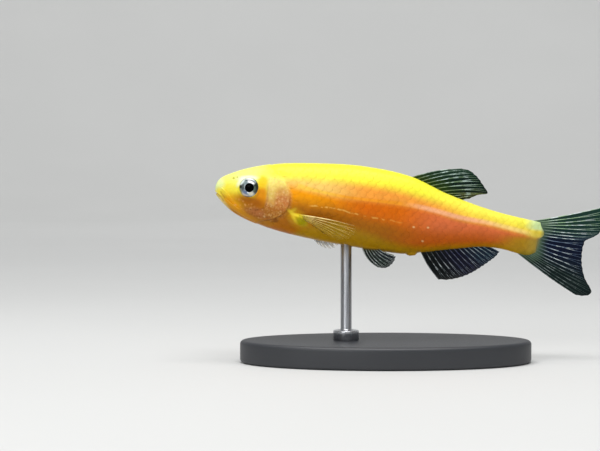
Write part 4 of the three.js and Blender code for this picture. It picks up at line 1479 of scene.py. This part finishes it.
def stand_paint():
    material, s = new_material("stand_paint")
    grain = s.noise(s.part_place(), 9000.0)
    cloud = s.noise(s.part_place(), 160.0, detail=3.0)
    s.shader({
        "Base Color": s.mix(cloud.spread(0.2, 0.8), rgb(44, 46, 50), rgb(58, 60, 64)),
        "Roughness": grain.spread(0.38, 0.56),
        "Normal": s.bump(grain, 0.25, 0.03 * MM),
    })
    return material


def stand_steel():
    material, s = new_material("stand_steel")
    inputs = {"Vector": s.part_place(), "Scale": (9000.0, 9000.0, 250.0)}
    drawn = s.noise(s.value("ShaderNodeMapping", inputs), 1.0, detail=3.0)
    s.shader({
        "Base Color": s.mix(drawn, rgb(170, 172, 176), rgb(206, 208, 212)),
        "Metallic": 1.0,
        "Roughness": drawn.spread(0.2, 0.38),
        "Normal": s.bump(drawn, 0.15, 0.02 * MM),
    })
    return material


def lathed(name, outline, centre, stretch, material, sides=160):
    """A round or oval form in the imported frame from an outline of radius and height."""
    angles = even_turns(sides)
    radii, heights = np.array(outline).T[..., None]
    inset = radii - radii.max()
    x = centre[0] + (stretch[0] + inset) * np.cos(angles)
    y = centre[1] + (stretch[1] + inset) * np.sin(angles)
    rings = np.stack([x, y, heights * np.ones(sides)], axis=-1)
    start, end = (np.array([*centre, height]) for height in heights[[0, -1], 0])
    points, faces = closed_rings(rings, start, end)
    return make_object(name, points, [face[::-1] for face in faces], material)


def rounded_corner(radius, height, size, upward):
    """Outline points of a quarter round at an outer edge."""
    turns = np.linspace(0, math.pi / 2, 8)
    if upward:
        return [(radius - size + size * math.cos(t), height - size + size * math.sin(t)) for t in turns]
    return [(radius - size + size * math.sin(t), height + size - size * math.cos(t)) for t in turns]


def box_middle(low, high):
    """The middle of a box as seen from above."""
    return (low.x + high.x) / 2, (low.y + high.y) / 2


def make_base():
    """The painted oval base. Gives back the height of its top."""
    low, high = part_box("stand_base")
    half = ((high.x - low.x) / 2, (high.y - low.y) / 2)
    outline = [(half[1] * 0.25, low.z)]
    outline += rounded_corner(half[1], low.z, BASE_BEVEL, False)
    outline += rounded_corner(half[1], high.z, BASE_BEVEL, True)
    outline += [(half[1] - 3 * BASE_BEVEL, high.z), (half[1] * 0.25, high.z)]
    base = lathed("stand_base_painted", outline, box_middle(low, high), half, stand_paint())
    belongs(base, "stand_paint", "stand_base")
    return high.z


def make_rod(top):
    """The rod, with a collar on the base's top."""
    under = top - 0.02 * MM
    collar_top = top + COLLAR_HEIGHT
    outline = [(ROD_RADIUS * 0.4, rod_low.z), (ROD_RADIUS, rod_low.z), (ROD_RADIUS, under)]
    outline += [(COLLAR_RADIUS, under)]
    outline += rounded_corner(COLLAR_RADIUS, collar_top, ROD_BEVEL, True)
    outline += [(ROD_RADIUS + ROD_BEVEL, collar_top), (ROD_RADIUS, collar_top + ROD_BEVEL)]
    outline += [(ROD_RADIUS, rod_high.z - ROD_BEVEL), (ROD_RADIUS - ROD_BEVEL, rod_high.z)]
    middle = box_middle(rod_low, rod_high)
    radii = (COLLAR_RADIUS, COLLAR_RADIUS)
    rod = lathed("stand_rod_steel", outline, middle, radii, stand_steel(), sides=64)
    belongs(rod, "stand_steel", "stand_rod")


# Studio: a pale floor that curves up all round, soft lights, and the camera

FLOOR_REACH, FLOOR_BEND, WALL_HEIGHT = 0.9, 0.35, 0.75


def floor_material():
    material, s = new_material("studio_floor")
    cloud = s.noise(s.part_place(), 14.0)
    colour = s.mix(cloud, rgb(208, 208, 206), rgb(214, 214, 212))
    s.shader({"Base Color": colour, "Roughness": 0.75})
    return material


def make_floor():
    bend_from = FLOOR_REACH - FLOOR_BEND
    line = [(0.02, 0.0), (0.2, 0.0), (bend_from, 0.0)]
    for turn in np.linspace(0, math.pi / 2, 12)[1:]:
        line.append((bend_from + FLOOR_BEND * math.sin(turn), FLOOR_BEND - FLOOR_BEND * math.cos(turn)))
    line.append((FLOOR_REACH, WALL_HEIGHT))
    angles = even_turns(96)
    rings = [[(r * math.cos(a), r * math.sin(a), z) for a in angles] for r, z in line]
    points = np.concatenate([[(0, 0, 0)], np.array(rings).reshape(-1, 3)])
    faces = grid_faces(len(line), len(angles)).tolist()
    faces += [[0, 1 + k, 1 + (k + 1) % len(angles)] for k in range(len(angles))]
    make_object("studio_floor", points, faces, floor_material())


def make_light(name, place, target, size, power):
    lamp = bpy.data.lights.new(name, "AREA")
    lamp.shape = "RECTANGLE"
    lamp.size, lamp.size_y = size
    lamp.energy = power
    light = bpy.data.objects.new(name, lamp)
    light.location = place
    light.rotation_euler = (Vector(target) - Vector(place)).to_track_quat("-Z", "Y").to_euler()
    bpy.context.scene.collection.objects.link(light)


def make_lights():
    middle = (0.0, 0.0, 0.019)
    make_light("softbox_over", (-0.02, -0.06, 0.30), middle, (0.26, 0.2), 1.0)
    make_light("fill_front", (-0.16, -0.30, 0.16), middle, (0.12, 0.1), 0.3)
    make_light("wall_wash", (0.0, 0.3, 0.5), (0.0, 0.9, 0.25), (0.7, 0.2), 2.2)
    world = bpy.data.worlds.new("studio_air")
    world.use_nodes = True
    world.node_tree.nodes["Background"].inputs["Color"].default_value = rgb(240, 244, 250)
    world.node_tree.nodes["Background"].inputs["Strength"].default_value = 0.4
    bpy.context.scene.world = world
    bpy.context.scene.view_settings.view_transform = "Standard"


PHOTO_WIDTH, PHOTO_HEIGHT = 600, 451
PIXELS_PER_MM = 8.58
SNOUT_PIXEL = (215.5, 187.0)
CAMERA_RAISED = math.radians(2)
CAMERA_LENS = 100.0
CAMERA_SENSOR = 36.0


def make_camera():
    """The photo's framing: the snout at its pixel, and the photo's scale at the fish."""
    snout = placed(np.zeros(3))
    centre = Vector((
        snout[0] + (PHOTO_WIDTH / 2 - SNOUT_PIXEL[0]) / PIXELS_PER_MM * MM,
        0.0,
        snout[2] - (PHOTO_HEIGHT / 2 - SNOUT_PIXEL[1]) / PIXELS_PER_MM * MM,
    ))
    distance = PHOTO_WIDTH / PIXELS_PER_MM * MM * CAMERA_LENS / CAMERA_SENSOR
    back = Vector((0, -math.cos(CAMERA_RAISED), math.sin(CAMERA_RAISED)))
    data = bpy.data.cameras.new("camera")
    data.lens = CAMERA_LENS
    data.sensor_width = CAMERA_SENSOR
    data.clip_start, data.clip_end = 0.005, 10.0
    camera = bpy.data.objects.new("camera", data)
    camera.location = centre + back * distance
    camera.rotation_euler = (-back).to_track_quat("-Z", "Y").to_euler()
    bpy.context.scene.collection.objects.link(camera)
    bpy.context.scene.camera = camera


# Assembly

def make_fish():
    make_skin(skin_material())
    scales = scale_material()
    roots = scale_roots()
    for side, mirror in (("right", 1), ("left", -1)):
        make_scales(f"scales_{side}", mirror, roots, scales)
    iris, black = eye_material(), pupil_material()
    for side, mirror in (("left", 1), ("right", -1)):
        make_iris(f"eyeball_{side}", mirror, iris, f"eye_{side}")
        make_pupil(f"eyeball_{side}_pupil", mirror, black)
    make_middle_fins()
    make_paired_fins()
    feeler = feeler_material()
    for label, path in FEELERS.items():
        for side, mirror in (("left", 1), ("right", -1)):
            make_feeler(f"feeler_{label}_{side}", path, mirror, feeler, f"barbel_{label}_{side}")


make_fish()
base_top = make_base()
make_rod(base_top)
make_floor()
make_lights()
make_camera()
